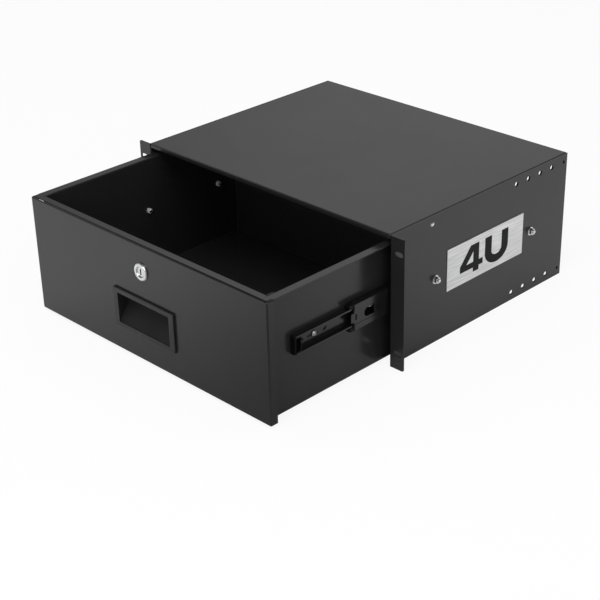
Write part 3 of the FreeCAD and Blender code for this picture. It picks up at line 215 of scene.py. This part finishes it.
def product(
    tree: bpy.types.NodeTree, first: bpy.types.NodeSocket, second: object
) -> bpy.types.NodeSocket:
    """Returns the socket of two values' product; the second is a socket or a number."""
    inputs = {0: first, 1: second}
    return add_node(tree, "ShaderNodeMath", inputs, operation="MULTIPLY").outputs[0]


def mix_shaders(
    tree: bpy.types.NodeTree,
    share: bpy.types.NodeSocket,
    first: bpy.types.NodeSocket,
    second: bpy.types.NodeSocket,
) -> bpy.types.NodeSocket:
    """Returns the socket of two mixed shaders; the share is that of the second."""
    inputs = {0: share, 1: first, 2: second}
    return add_node(tree, "ShaderNodeMixShader", inputs).outputs[0]


@dataclass(frozen=True)
class Finish:
    """A surface finish: its colours, its gloss, and a grain with a real size in mm."""

    name: str
    colour: str
    cloud_colour: str
    roughness: float
    uneven: float
    grain: float
    relief: float
    metallic: float = 0.0
    ior: float = 1.5
    relief_strength: float = 0.3
    cloud: float = 60.0
    stretch: tuple[float, float, float] = (1.0, 1.0, 1.0)

    def make(self) -> bpy.types.Material:
        """Makes the material of this finish.

        Returns:
            The material.
        """
        material = bpy.data.materials.new(self.name)
        tree = cleared_tree(material)
        place = add_node(tree, "ShaderNodeTexCoord").outputs["Object"]
        run = add_node(
            tree, "ShaderNodeMapping", {"Vector": place, "Scale": self.stretch}
        ).outputs["Vector"]
        grain = noise(tree, run, self.grain, GRAIN_DETAIL)
        cloud = noise(tree, run, self.cloud, CLOUD_DETAIL)
        colour = add_node(
            tree,
            "ShaderNodeMix",
            {
                MIX_SHARE: self.share(tree, grain, cloud),
                MIX_FIRST: linear(self.colour),
                MIX_SECOND: linear(self.cloud_colour),
            },
            data_type="RGBA",
        ).outputs[MIX_RESULT]
        roughness = remap(
            tree,
            cloud,
            NOISE_LOW,
            NOISE_HIGH,
            self.roughness - self.uneven,
            self.roughness + self.uneven,
        )
        bump = add_node(
            tree,
            "ShaderNodeBump",
            {
                "Height": grain,
                "Distance": self.relief * MM,
                "Strength": self.relief_strength,
            },
        ).outputs[0]
        shader = add_node(
            tree,
            "ShaderNodeBsdfPrincipled",
            {
                "Base Color": colour,
                "Roughness": roughness,
                "Metallic": self.metallic,
                "IOR": self.ior,
                "Normal": bump,
            },
        ).outputs[0]
        add_node(tree, "ShaderNodeOutputMaterial", {"Surface": shader})
        return material

    def share(
        self,
        tree: bpy.types.NodeTree,
        grain: bpy.types.NodeSocket,
        cloud: bpy.types.NodeSocket,
    ) -> bpy.types.NodeSocket:
        """Says how much of the second colour is where, from the noises of the finish.

        Args:
            tree: The material's tree; not used here.
            grain: The fine noise; not used here.
            cloud: The wide noise.

        Returns:
            The socket of the share, which here follows the wide noise.
        """
        return cloud


@dataclass(frozen=True)
class StreakedFinish(Finish):
    """A drawn or brushed metal, whose streaks change its tone as well as its relief."""

    streak: float = 0.8

    def share(
        self,
        tree: bpy.types.NodeTree,
        grain: bpy.types.NodeSocket,
        cloud: bpy.types.NodeSocket,
    ) -> bpy.types.NodeSocket:
        """Returns the share as the streaks say, from the sockets of Finish.share."""
        half = self.streak / 2
        return remap(tree, grain, NOISE_MIDDLE - half, NOISE_MIDDLE + half)


# Polyester powder sprayed on sheet steel and baked: smooth, black, a fine orange peel
POWDER_COAT = Finish(
    name="black_powder_coat",
    colour="#202021",
    cloud_colour="#242425",
    roughness=0.22,
    uneven=0.02,
    grain=1.6,
    relief=0.01,
    ior=1.48,
)
# Roll formed steel under black zinc, with faint marks of the rollers along its length
BLACK_ZINC = StreakedFinish(
    name="black_zinc_steel",
    colour="#0c0c0d",
    cloud_colour="#161617",
    roughness=0.2,
    uneven=0.04,
    grain=0.7,
    relief=0.015,
    ior=1.62,
    stretch=(1.0, 0.03, 1.0),
)
# Hardened and polished chrome steel balls
BEARING_STEEL = Finish(
    name="bearing_steel",
    colour="#c2c3c4",
    cloud_colour="#d0d1d2",
    roughness=0.12,
    uneven=0.04,
    grain=0.8,
    relief=0.005,
    metallic=1.0,
    cloud=4.0,
)
# Bright nickel over machined steel
NICKEL_PLATE = Finish(
    name="nickel_plate",
    colour="#dcdbd9",
    cloud_colour="#e8e7e5",
    roughness=0.2,
    uneven=0.05,
    grain=0.6,
    relief=0.01,
    metallic=1.0,
    cloud=5.0,
)
# The same nickel made lighter and half diffuse, on the nuts inside the drawer: a painted
# glint, so that they show bright in the drawer's shaded inside
NICKEL_WITH_PAINTED_GLINT = Finish(
    name="nickel_with_painted_glint",
    colour="#e6e6e5",
    cloud_colour="#f4f4f3",
    roughness=0.26,
    uneven=0.05,
    grain=0.6,
    relief=0.01,
    metallic=0.5,
    cloud=5.0,
)
# Chromium over a zinc die casting, its polish a little soft
CHROME_PLATE = Finish(
    name="chrome_plate",
    colour="#e0e2e3",
    cloud_colour="#eceded",
    roughness=0.32,
    uneven=0.04,
    grain=1.2,
    relief=0.01,
    metallic=1.0,
    cloud=8.0,
)
# Clear passivated zinc over steel, dull and slightly blue
ZINC_PLATE = Finish(
    name="zinc_plate",
    colour="#a9adb3",
    cloud_colour="#bcc0c6",
    roughness=0.36,
    uneven=0.06,
    grain=0.9,
    relief=0.02,
    metallic=1.0,
    cloud=9.0,
)
# Injection moulded ABS from a spark eroded tool, satin black
MOULDED_ABS = Finish(
    name="moulded_abs",
    colour="#161616",
    cloud_colour="#1c1c1c",
    roughness=0.4,
    uneven=0.04,
    grain=0.6,
    relief=0.05,
)
# Moulded acetal from an eroded tool, dull and deep black
ACETAL = Finish(
    name="acetal",
    colour="#080808",
    cloud_colour="#0b0b0b",
    roughness=0.6,
    uneven=0.05,
    grain=0.5,
    relief=0.03,
    ior=1.33,
)
# Moulded nitrile rubber, dull with a fine bloom
RUBBER = Finish(
    name="rubber",
    colour="#121212",
    cloud_colour="#1b1b1b",
    roughness=0.75,
    uneven=0.06,
    grain=0.7,
    relief=0.05,
    ior=1.52,
)
# Aluminium brushed along its length, its lines drawn 0.9 mm wide so that they show
BRUSHED_PLATE = StreakedFinish(
    name="brushed_plate",
    colour="#c6c6c7",
    cloud_colour="#f2f2f2",
    roughness=0.3,
    uneven=0.05,
    grain=0.9,
    relief=0.02,
    metallic=1.0,
    stretch=(1.0, 0.025, 1.0),
    streak=0.45,
)
# Screen printed epoxy ink, near black and slightly dull
PRINTED_INK = Finish(
    name="printed_ink",
    colour="#0d0d0d",
    cloud_colour="#111111",
    roughness=0.5,
    uneven=0.04,
    grain=0.5,
    relief=0.01,
    ior=1.25,
)
# The finishes that the record's material slots name
FINISHES = (
    POWDER_COAT,
    BLACK_ZINC,
    BEARING_STEEL,
    NICKEL_PLATE,
    CHROME_PLATE,
    ZINC_PLATE,
    MOULDED_ABS,
    ACETAL,
    RUBBER,
    BRUSHED_PLATE,
)
# The nodes that look otherwise than their slot says: the drawer's nuts, with a painted
# glint
NODE_FINISHES = {"drawer_nuts": NICKEL_WITH_PAINTED_GLINT}


@dataclass
class FinishShop:
    """Makes each material once and dresses nodes and pieces in them."""

    made: dict[str, bpy.types.Material] = field(default_factory=dict)

    def material(self, finish: Finish) -> bpy.types.Material:
        """Finds the material of a finish, and makes it the first time.

        Args:
            finish: The finish.

        Returns:
            Its material.
        """
        if finish.name not in self.made:
            self.made[finish.name] = finish.make()
        return self.made[finish.name]

    def dress(self, piece: bpy.types.Object, finish: Finish) -> None:
        """Gives every face of a piece one finish."""
        piece.data.materials.clear()
        piece.data.materials.append(self.material(finish))

    def dress_nodes(self) -> None:
        """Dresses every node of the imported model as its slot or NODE_FINISHES says."""
        by_name = {finish.name: finish for finish in FINISHES}
        for part in frame["record"]["subparts"]:
            name = part["node"]
            finish = NODE_FINISHES.get(name, by_name[part["material_slot"]])
            self.dress(frame["nodes"][name], finish)
            log.info("%s: %s", name, finish.name)


def new_piece(name: str, data: bpy.types.ID) -> bpy.types.Object:
    """Puts a mesh, curve, lamp or camera in the scene, as an object at the origin.

    Args:
        name: The object's name.
        data: What it holds.

    Returns:
        The object.
    """
    piece = bpy.data.objects.new(name, data)
    bpy.context.scene.collection.objects.link(piece)
    return piece


def baked(piece: bpy.types.Object) -> bpy.types.Mesh:
    """Turns an object with its modifiers into a plain mesh, and removes the object.

    Args:
        piece: The object.

    Returns:
        The new mesh.
    """
    graph = bpy.context.evaluated_depsgraph_get()
    mesh = bpy.data.meshes.new_from_object(piece.evaluated_get(graph))
    bpy.data.objects.remove(piece)
    return mesh


@dataclass
class SizeMark:
    """The size in rack units, printed on the plate of the right side as raised ink.

    All lengths are in mm, from the plate's lower front corner. The digit is a stem, a
    bar and a slanting stroke, and the letter's bend is flatter than a half circle.
    """

    plate: str = "size_plate"
    ink: float = 0.12
    low: float = 9.6
    tall: float = 38.6
    four_left: float = 25.2
    four_wide: float = 45.2
    stem_right: float = 37.2
    stem: float = 11.2
    bar_low: float = 6.0
    bar: float = 8.0
    slant_wide: float = 9.8
    slant_top: float = 0.8
    slant_foot: float = 0.6
    hole_foot: float = 2.6
    u_left: float = 74.6
    u_wide: float = 47.2
    u_stroke: float = 13.4
    u_bend: float = 0.78
    u_hollow: float = 0.72
    u_drop: float = 2.0
    bend_steps: int = 24

    def four(self) -> list[list[tuple[float, float]]]:
        """Draws the digit.

        Returns:
            Its outline and that of the hole in it.
        """
        x, z = self.four_left, self.low
        right = x + self.stem_right
        left = right - self.stem
        bar_low = z + self.bar_low
        bar_top = bar_low + self.bar
        top = z + self.tall
        end = x + self.four_wide
        outside = [
            (x + (left - x) * self.slant_top, top),
            (x, bar_top + self.slant_foot),
            (x, bar_low),
            (left, bar_low),
            (left, z),
            (right, z),
            (right, bar_low),
            (end, bar_low),
            (end, bar_top),
            (right, bar_top),
            (right, top),
        ]
        hole = [
            (left, bar_top),
            (left, top - self.slant_wide),
            (x + self.slant_wide + self.hole_foot, bar_top),
        ]
        return [outside, hole]

    def letter(self) -> list[list[tuple[float, float]]]:
        """Draws the letter.

        Returns:
            Its outline, alone in a list.
        """
        x, top = self.u_left, self.low + self.tall
        outer = self.u_wide / 2
        inner = outer - self.u_stroke
        middle = x + outer
        centre = self.low - self.u_drop + outer * self.u_bend
        outside = [(x, top), (x, centre)]
        inside = []
        for step in range(self.bend_steps + 1):
            angle = math.pi * (1 + step / self.bend_steps)
            side, up = math.cos(angle), math.sin(angle)
            outside.append((middle + outer * side, centre + outer * self.u_bend * up))
            inside.append((middle + inner * side, centre + inner * self.u_hollow * up))
        outside += [(x + self.u_wide, top), (x + self.u_wide - self.u_stroke, top)]
        return [outside + inside[::-1] + [(x + self.u_stroke, top)]]

    def build(self, shop: FinishShop) -> bpy.types.Object:
        """Builds the mark on its plate.

        Args:
            shop: Where the ink comes from.

        Returns:
            The piece.
        """
        low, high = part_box(self.plate)
        curve = bpy.data.curves.new("size_mark_outline", "CURVE")
        curve.dimensions = "2D"
        curve.fill_mode = "BOTH"
        curve.extrude = self.ink * MM / 2
        for points in self.four() + self.letter():
            line = curve.splines.new("POLY")
            line.points.add(len(points) - 1)
            for point, (across, up) in zip(line.points, points):
                point.co = (across * MM, up * MM, 0.0, 1.0)
            line.use_cyclic_u = True
        mesh = baked(new_piece("size_mark_outline", curve))
        shift = Matrix.Translation((high.x + self.ink * MM / 2, low.y, low.z))
        mesh.transform(shift @ FACING_RIGHT)
        mesh.name = "size_mark"
        piece = new_piece("size_mark", mesh)
        shop.dress(piece, PRINTED_INK)
        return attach(piece, Rides.CASE.value)


@dataclass
class ThreadCrests:
    """The thread crests on the free ends of bolts or screws, on both sides, in mm.

    Each end carries a stack of rings along X. The middles are the ends' Y and Z, and
    inmost is how far the nearest ring of each stack is from the middle plane.
    """

    name: str
    rides: Rides
    middles: list[tuple[float, float]]
    inmost: float
    diameter: float
    pitch: float
    turns: int
    finish: Finish = NICKEL_PLATE
    crest: float = 0.16
    ring_steps: int = 28
    crest_steps: int = 6

    def starts(self) -> list[Vector]:
        """Finds where the stacks start, each at its lowest X.

        Returns:
            The places, in metres.
        """
        length = self.pitch * (self.turns - 1)
        left, right = -self.inmost - length, self.inmost
        return [Vector((x, y, z)) * MM for x in (left, right) for y, z in self.middles]

    def values(self) -> dict[str, float]:
        """Returns what the nodes are given, by the names of their sockets."""
        return {
            "Radius": self.diameter / 2 * MM,
            "Crest": self.crest * MM,
            "Pitch": self.pitch * MM,
            "Turns": self.turns,
        }

    def tree(self, material: bpy.types.Material) -> bpy.types.NodeTree:
        """Builds the nodes that stack rings on each point.

        Args:
            material: The finish of the crests.

        Returns:
            The tree.
        """
        tree = bpy.data.node_groups.new(self.name + "_nodes", "GeometryNodeTree")
        geometry = "NodeSocketGeometry"
        tree.interface.new_socket("Geometry", in_out="INPUT", socket_type=geometry)
        for name, value in self.values().items():
            kind = "NodeSocketInt" if isinstance(value, int) else "NodeSocketFloat"
            tree.interface.new_socket(name, in_out="INPUT", socket_type=kind)
        tree.interface.new_socket("Geometry", in_out="OUTPUT", socket_type=geometry)
        given = add_node(tree, "NodeGroupInput").outputs
        outlines = ((self.ring_steps, "Radius"), (self.crest_steps, "Crest"))
        circle, section = (
            add_node(
                tree,
                "GeometryNodeCurvePrimitiveCircle",
                {"Resolution": steps, "Radius": given[radius]},
            ).outputs[0]
            for steps, radius in outlines
        )
        ring = add_node(
            tree, "GeometryNodeCurveToMesh", {"Curve": circle, "Profile Curve": section}
        ).outputs[0]
        step = add_node(tree, "ShaderNodeCombineXYZ", {"X": given["Pitch"]}).outputs[0]
        row = add_node(
            tree, "GeometryNodeMeshLine", {"Count": given["Turns"], "Offset": step}
        ).outputs[0]
        stack = add_node(
            tree,
            "GeometryNodeInstanceOnPoints",
            {"Points": row, "Instance": ring, "Rotation": (0.0, QUARTER_TURN, 0.0)},
        ).outputs[0]
        spread = add_node(
            tree,
            "GeometryNodeInstanceOnPoints",
            {"Points": given["Geometry"], "Instance": stack},
        ).outputs[0]
        solid = add_node(
            tree, "GeometryNodeRealizeInstances", {"Geometry": spread}
        ).outputs[0]
        dressed = add_node(
            tree, "GeometryNodeSetMaterial", {"Geometry": solid, "Material": material}
        ).outputs[0]
        add_node(tree, "NodeGroupOutput", {0: dressed})
        return tree

    def build(self, shop: FinishShop) -> bpy.types.Object:
        """Builds the crests of every end as one piece.

        Args:
            shop: Where the finish comes from.

        Returns:
            The piece.
        """
        points = bpy.data.meshes.new(self.name + "_points")
        points.from_pydata(self.starts(), [], [])
        holder = new_piece(self.name + "_points", points)
        tree = self.tree(shop.material(self.finish))
        modifier = holder.modifiers.new("crests", "NODES")
        modifier.node_group = tree
        values = self.values()
        for item in tree.interface.items_tree:
            if item.name in values:
                modifier[item.identifier] = values[item.name]
        mesh = baked(holder)
        mesh.name = self.name
        piece = new_piece(self.name, mesh)
        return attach(piece, self.rides.value)


@dataclass(frozen=True)
class Lamp:
    """A square soft lamp: where it hangs, its power in watts and its side in metres."""

    name: str
    place: tuple[float, float, float]
    power: float
    size: float

    def hang(self, aim: Vector) -> None:
        """Hangs the lamp.

        Args:
            aim: What it faces.
        """
        light = bpy.data.lights.new(self.name, "AREA")
        light.energy = self.power
        light.size = self.size
        holder = new_piece(self.name, light)
        holder.location = Vector(self.place)
        facing = (aim - holder.location).to_track_quat("-Z", "Y")
        holder.rotation_euler = facing.to_euler()


@dataclass
class Studio:
    """A white studio with a pale floor and soft lamps, with painted shade in what is
    glossy.

    The painted shade shows only in glossy reflections: as a dark patch painted on the
    floor at its front right, and as a world that glossy rays see dim round one painted
    bright area, which the case's top reflects. Lengths are in metres.
    """

    floor_radius: float = 8.0
    floor_steps: int = 96
    floor_colour: str = "#f2f2f2"
    floor_white: float = 0.9
    # Painted shade: a dark patch on the floor that only glossy rays see, with its middle,
    # its core, its fading edge and its darkness
    painted_shade_place: tuple[float, float] = (0.45, -0.45)
    painted_shade_core: float = 0.15
    painted_shade_edge: float = 0.75
    painted_shade_depth: float = 0.93
    surround: float = 0.62
    # Painted reflection: the world's brightness in gloss at its bright area and round it,
    # which way that area faces, and where it fades in
    painted_reflection_bright: float = 0.68
    painted_reflection_dim: float = 0.09
    painted_reflection_side: tuple[float, float, float] = (-0.522, 0.668, 0.530)
    painted_reflection_start: float = 0.9
    painted_reflection_full: float = 1.0
    lamps: tuple[Lamp, ...] = (
        Lamp("left_lamp", (-2.2, -0.35, 1.5), 5.0, 1.0),
        Lamp("right_lamp", (2.3, 0.0, 1.2), 8.0, 1.0),
        Lamp("high_lamp", (0.5, -0.9, 1.9), 15.0, 1.1),
        Lamp("front_lamp", (0.5, -2.1, 0.95), 8.0, 0.8),
    )

    def world(self) -> None:
        """Surrounds the scene with light, white to the eye; glossy rays see it dim round
        one bright area, a painted reflection for the case's top.
        """
        world = bpy.data.worlds.new("white_surround")
        bpy.context.scene.world = world
        tree = cleared_tree(world)
        facing = add_node(
            tree,
            "ShaderNodeVectorMath",
            {
                0: add_node(tree, "ShaderNodeTexCoord").outputs["Generated"],
                1: Vector(self.painted_reflection_side).normalized(),
            },
            operation="DOT_PRODUCT",
        ).outputs["Value"]
        # Painted reflection: bright toward the case top's mirror direction, dim elsewhere,
        # seen only by glossy rays
        painted_reflection = remap(
            tree,
            facing,
            self.painted_reflection_start,
            self.painted_reflection_full,
            self.painted_reflection_dim,
            self.painted_reflection_bright,
            "SMOOTHSTEP",
        )
        light, mirrored, white = (
            add_node(
                tree,
                "ShaderNodeBackground",
                {"Color": linear(WHITE), "Strength": strength},
            ).outputs[0]
            for strength in (self.surround, painted_reflection, 1.0)
        )
        path = add_node(tree, "ShaderNodeLightPath").outputs
        unseen = mix_shaders(tree, path["Is Glossy Ray"], light, mirrored)
        seen = mix_shaders(tree, path["Is Camera Ray"], unseen, white)
        add_node(tree, "ShaderNodeOutputWorld", {"Surface": seen})

    def paper(self, height: float) -> bpy.types.Material:
        """Makes the floor's material, with a painted shade: a dark patch that only glossy
        rays see.

        Args:
            height: Of the floor, in metres.

        Returns:
            The material.
        """
        material = bpy.data.materials.new("pale_paper")
        tree = cleared_tree(material)
        plain = add_node(
            tree, "ShaderNodeBsdfDiffuse", {"Color": linear(self.floor_colour)}
        ).outputs[0]
        white, black = (
            add_node(tree, "ShaderNodeEmission", {"Strength": strength}).outputs[0]
            for strength in (1.0, 0.0)
        )
        away = add_node(
            tree,
            "ShaderNodeVectorMath",
            {
                0: add_node(tree, "ShaderNodeTexCoord").outputs["Object"],
                1: Vector((*self.painted_shade_place, height)),
            },
            operation="DISTANCE",
        ).outputs["Value"]
        # Painted shade: the floor turns dark round its front right, for glossy rays only
        dark = remap(
            tree,
            away,
            self.painted_shade_core,
            self.painted_shade_edge,
            self.painted_shade_depth,
            0.0,
            "SMOOTHSTEP",
        )
        path = add_node(tree, "ShaderNodeLightPath").outputs
        seen = product(tree, path["Is Camera Ray"], self.floor_white)
        patch = product(tree, path["Is Glossy Ray"], dark)
        lit = mix_shaders(tree, seen, plain, white)
        mixed = mix_shaders(tree, patch, lit, black)
        add_node(tree, "ShaderNodeOutputMaterial", {"Surface": mixed})
        return material

    def floor(self, height: float) -> None:
        """Lays the floor under the case.

        Args:
            height: Where the case stands, in metres.
        """
        mesh = bpy.data.meshes.new("floor")
        sheet = bmesh.new()
        bmesh.ops.create_circle(
            sheet, cap_ends=True, radius=self.floor_radius, segments=self.floor_steps
        )
        sheet.to_mesh(mesh)
        sheet.free()
        mesh.transform(Matrix.Translation((0, 0, height)))
        floor = new_piece("floor", mesh)
        mesh.materials.append(self.paper(height))
        floor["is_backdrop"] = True

    def build(self, height: float, aim: Vector) -> None:
        """Builds the studio.

        Args:
            height: Of the floor, in metres.
            aim: What the lamps face.
        """
        self.world()
        self.floor(height)
        for lamp in self.lamps:
            lamp.hang(aim)


@dataclass
class Viewpoint:
    """The camera where the photograph was taken from: degrees, metres, mm of lens."""

    azimuth: float = 45.595
    elevation: float = 27.485
    roll: float = -1.38
    place: tuple[float, float, float] = (1.23784, -1.14859, 0.80246)
    lens: float = 86.683
    sensor: float = 36.0
    nearest: float = 0.05
    farthest: float = 50.0

    def build(self) -> bpy.types.Object:
        """Builds the scene's camera.

        Returns:
            The camera.
        """
        turn, lift = math.radians(self.azimuth), math.radians(self.elevation)
        roll = math.radians(self.roll)
        back = Vector(
            (
                math.sin(turn) * math.cos(lift),
                -math.cos(turn) * math.cos(lift),
                math.sin(lift),
            )
        )
        level = (-back).cross(Vector((0, 0, 1))).normalized()
        upright = level.cross(-back)
        across = level * math.cos(roll) + upright * math.sin(roll)
        up = upright * math.cos(roll) - level * math.sin(roll)
        lens = bpy.data.cameras.new("camera")
        lens.lens = self.lens
        lens.sensor_width = self.sensor
        lens.clip_start = self.nearest
        lens.clip_end = self.farthest
        camera = new_piece("camera", lens)
        turned = Matrix((across, up, back)).transposed().to_4x4()
        camera.matrix_world = Matrix.Translation(self.place) @ turned
        bpy.context.scene.camera = camera
        return camera


@dataclass
class RackCase:
    """The fixed case: its print and the thread crests of the slide bolts, in mm."""

    bolt: float = 5.0
    bolt_pitch: float = 0.8
    bolt_turns: int = 3
    bolt_inmost: float = 225.45

    def bolt_middles(self) -> list[tuple[float, float]]:
        """Finds the bolts from their washers.

        Returns:
            Where they stand on a side, as Y and Z.
        """
        low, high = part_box("slide_washers")
        radius = (high.z - low.z) / 2
        middle = (high.z + low.z) / 2
        return [(y / MM, middle / MM) for y in (low.y + radius, high.y - radius)]

    def build(self, shop: FinishShop) -> list[bpy.types.Object]:
        """Builds the case's own pieces.

        Args:
            shop: Where the finishes come from.

        Returns:
            The pieces.
        """
        crests = ThreadCrests(
            name="slide_bolt_threads",
            rides=Rides.CASE,
            middles=self.bolt_middles(),
            inmost=self.bolt_inmost,
            diameter=self.bolt,
            pitch=self.bolt_pitch,
            turns=self.bolt_turns,
        )
        return [SizeMark().build(shop), crests.build(shop)]


@dataclass
class Drawer:
    """The drawer: the thread crests of the screws that hold it to its slides, in mm."""

    screw: float = 4.0
    screw_pitch: float = 0.7
    screw_turns: int = 2
    screw_inmost: float = 200.5
    screws: tuple[float, ...] = (-118.0, -22.0, 106.0)

    def screw_middles(self) -> list[tuple[float, float]]:
        """Finds the screws' height from their nuts.

        Returns:
            Where the screws stand on a side, as Y and Z.
        """
        low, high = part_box("drawer_nuts")
        middle = (low.z + high.z) / 2 / MM
        return [(y, middle) for y in self.screws]

    def build(self, shop: FinishShop) -> list[bpy.types.Object]:
        """Builds the drawer's own pieces.

        Args:
            shop: Where the finishes come from.

        Returns:
            The pieces.
        """
        crests = ThreadCrests(
            name="drawer_screw_threads",
            rides=Rides.DRAWER,
            middles=self.screw_middles(),
            inmost=self.screw_inmost,
            diameter=self.screw,
            pitch=self.screw_pitch,
            turns=self.screw_turns,
            # The nickel with a painted glint, as on the nuts
            finish=NICKEL_WITH_PAINTED_GLINT,
        )
        return [crests.build(shop)]


def main() -> None:
    """Builds the pieces in order, then the studio and the camera."""
    logging.basicConfig(level=logging.INFO, format="%(message)s")
    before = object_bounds()
    shop = FinishShop()
    shop.dress_nodes()
    for assembly in (RackCase(), Drawer()):
        for piece in assembly.build(shop):
            log.info("%s: %d faces", piece.name, len(piece.data.polygons))
    Studio().build(before[0].z, (before[0] + before[1]) / 2)
    Viewpoint().build()
    bpy.context.scene.view_settings.view_transform = "Standard"


if __name__ == "__main__":
    main()
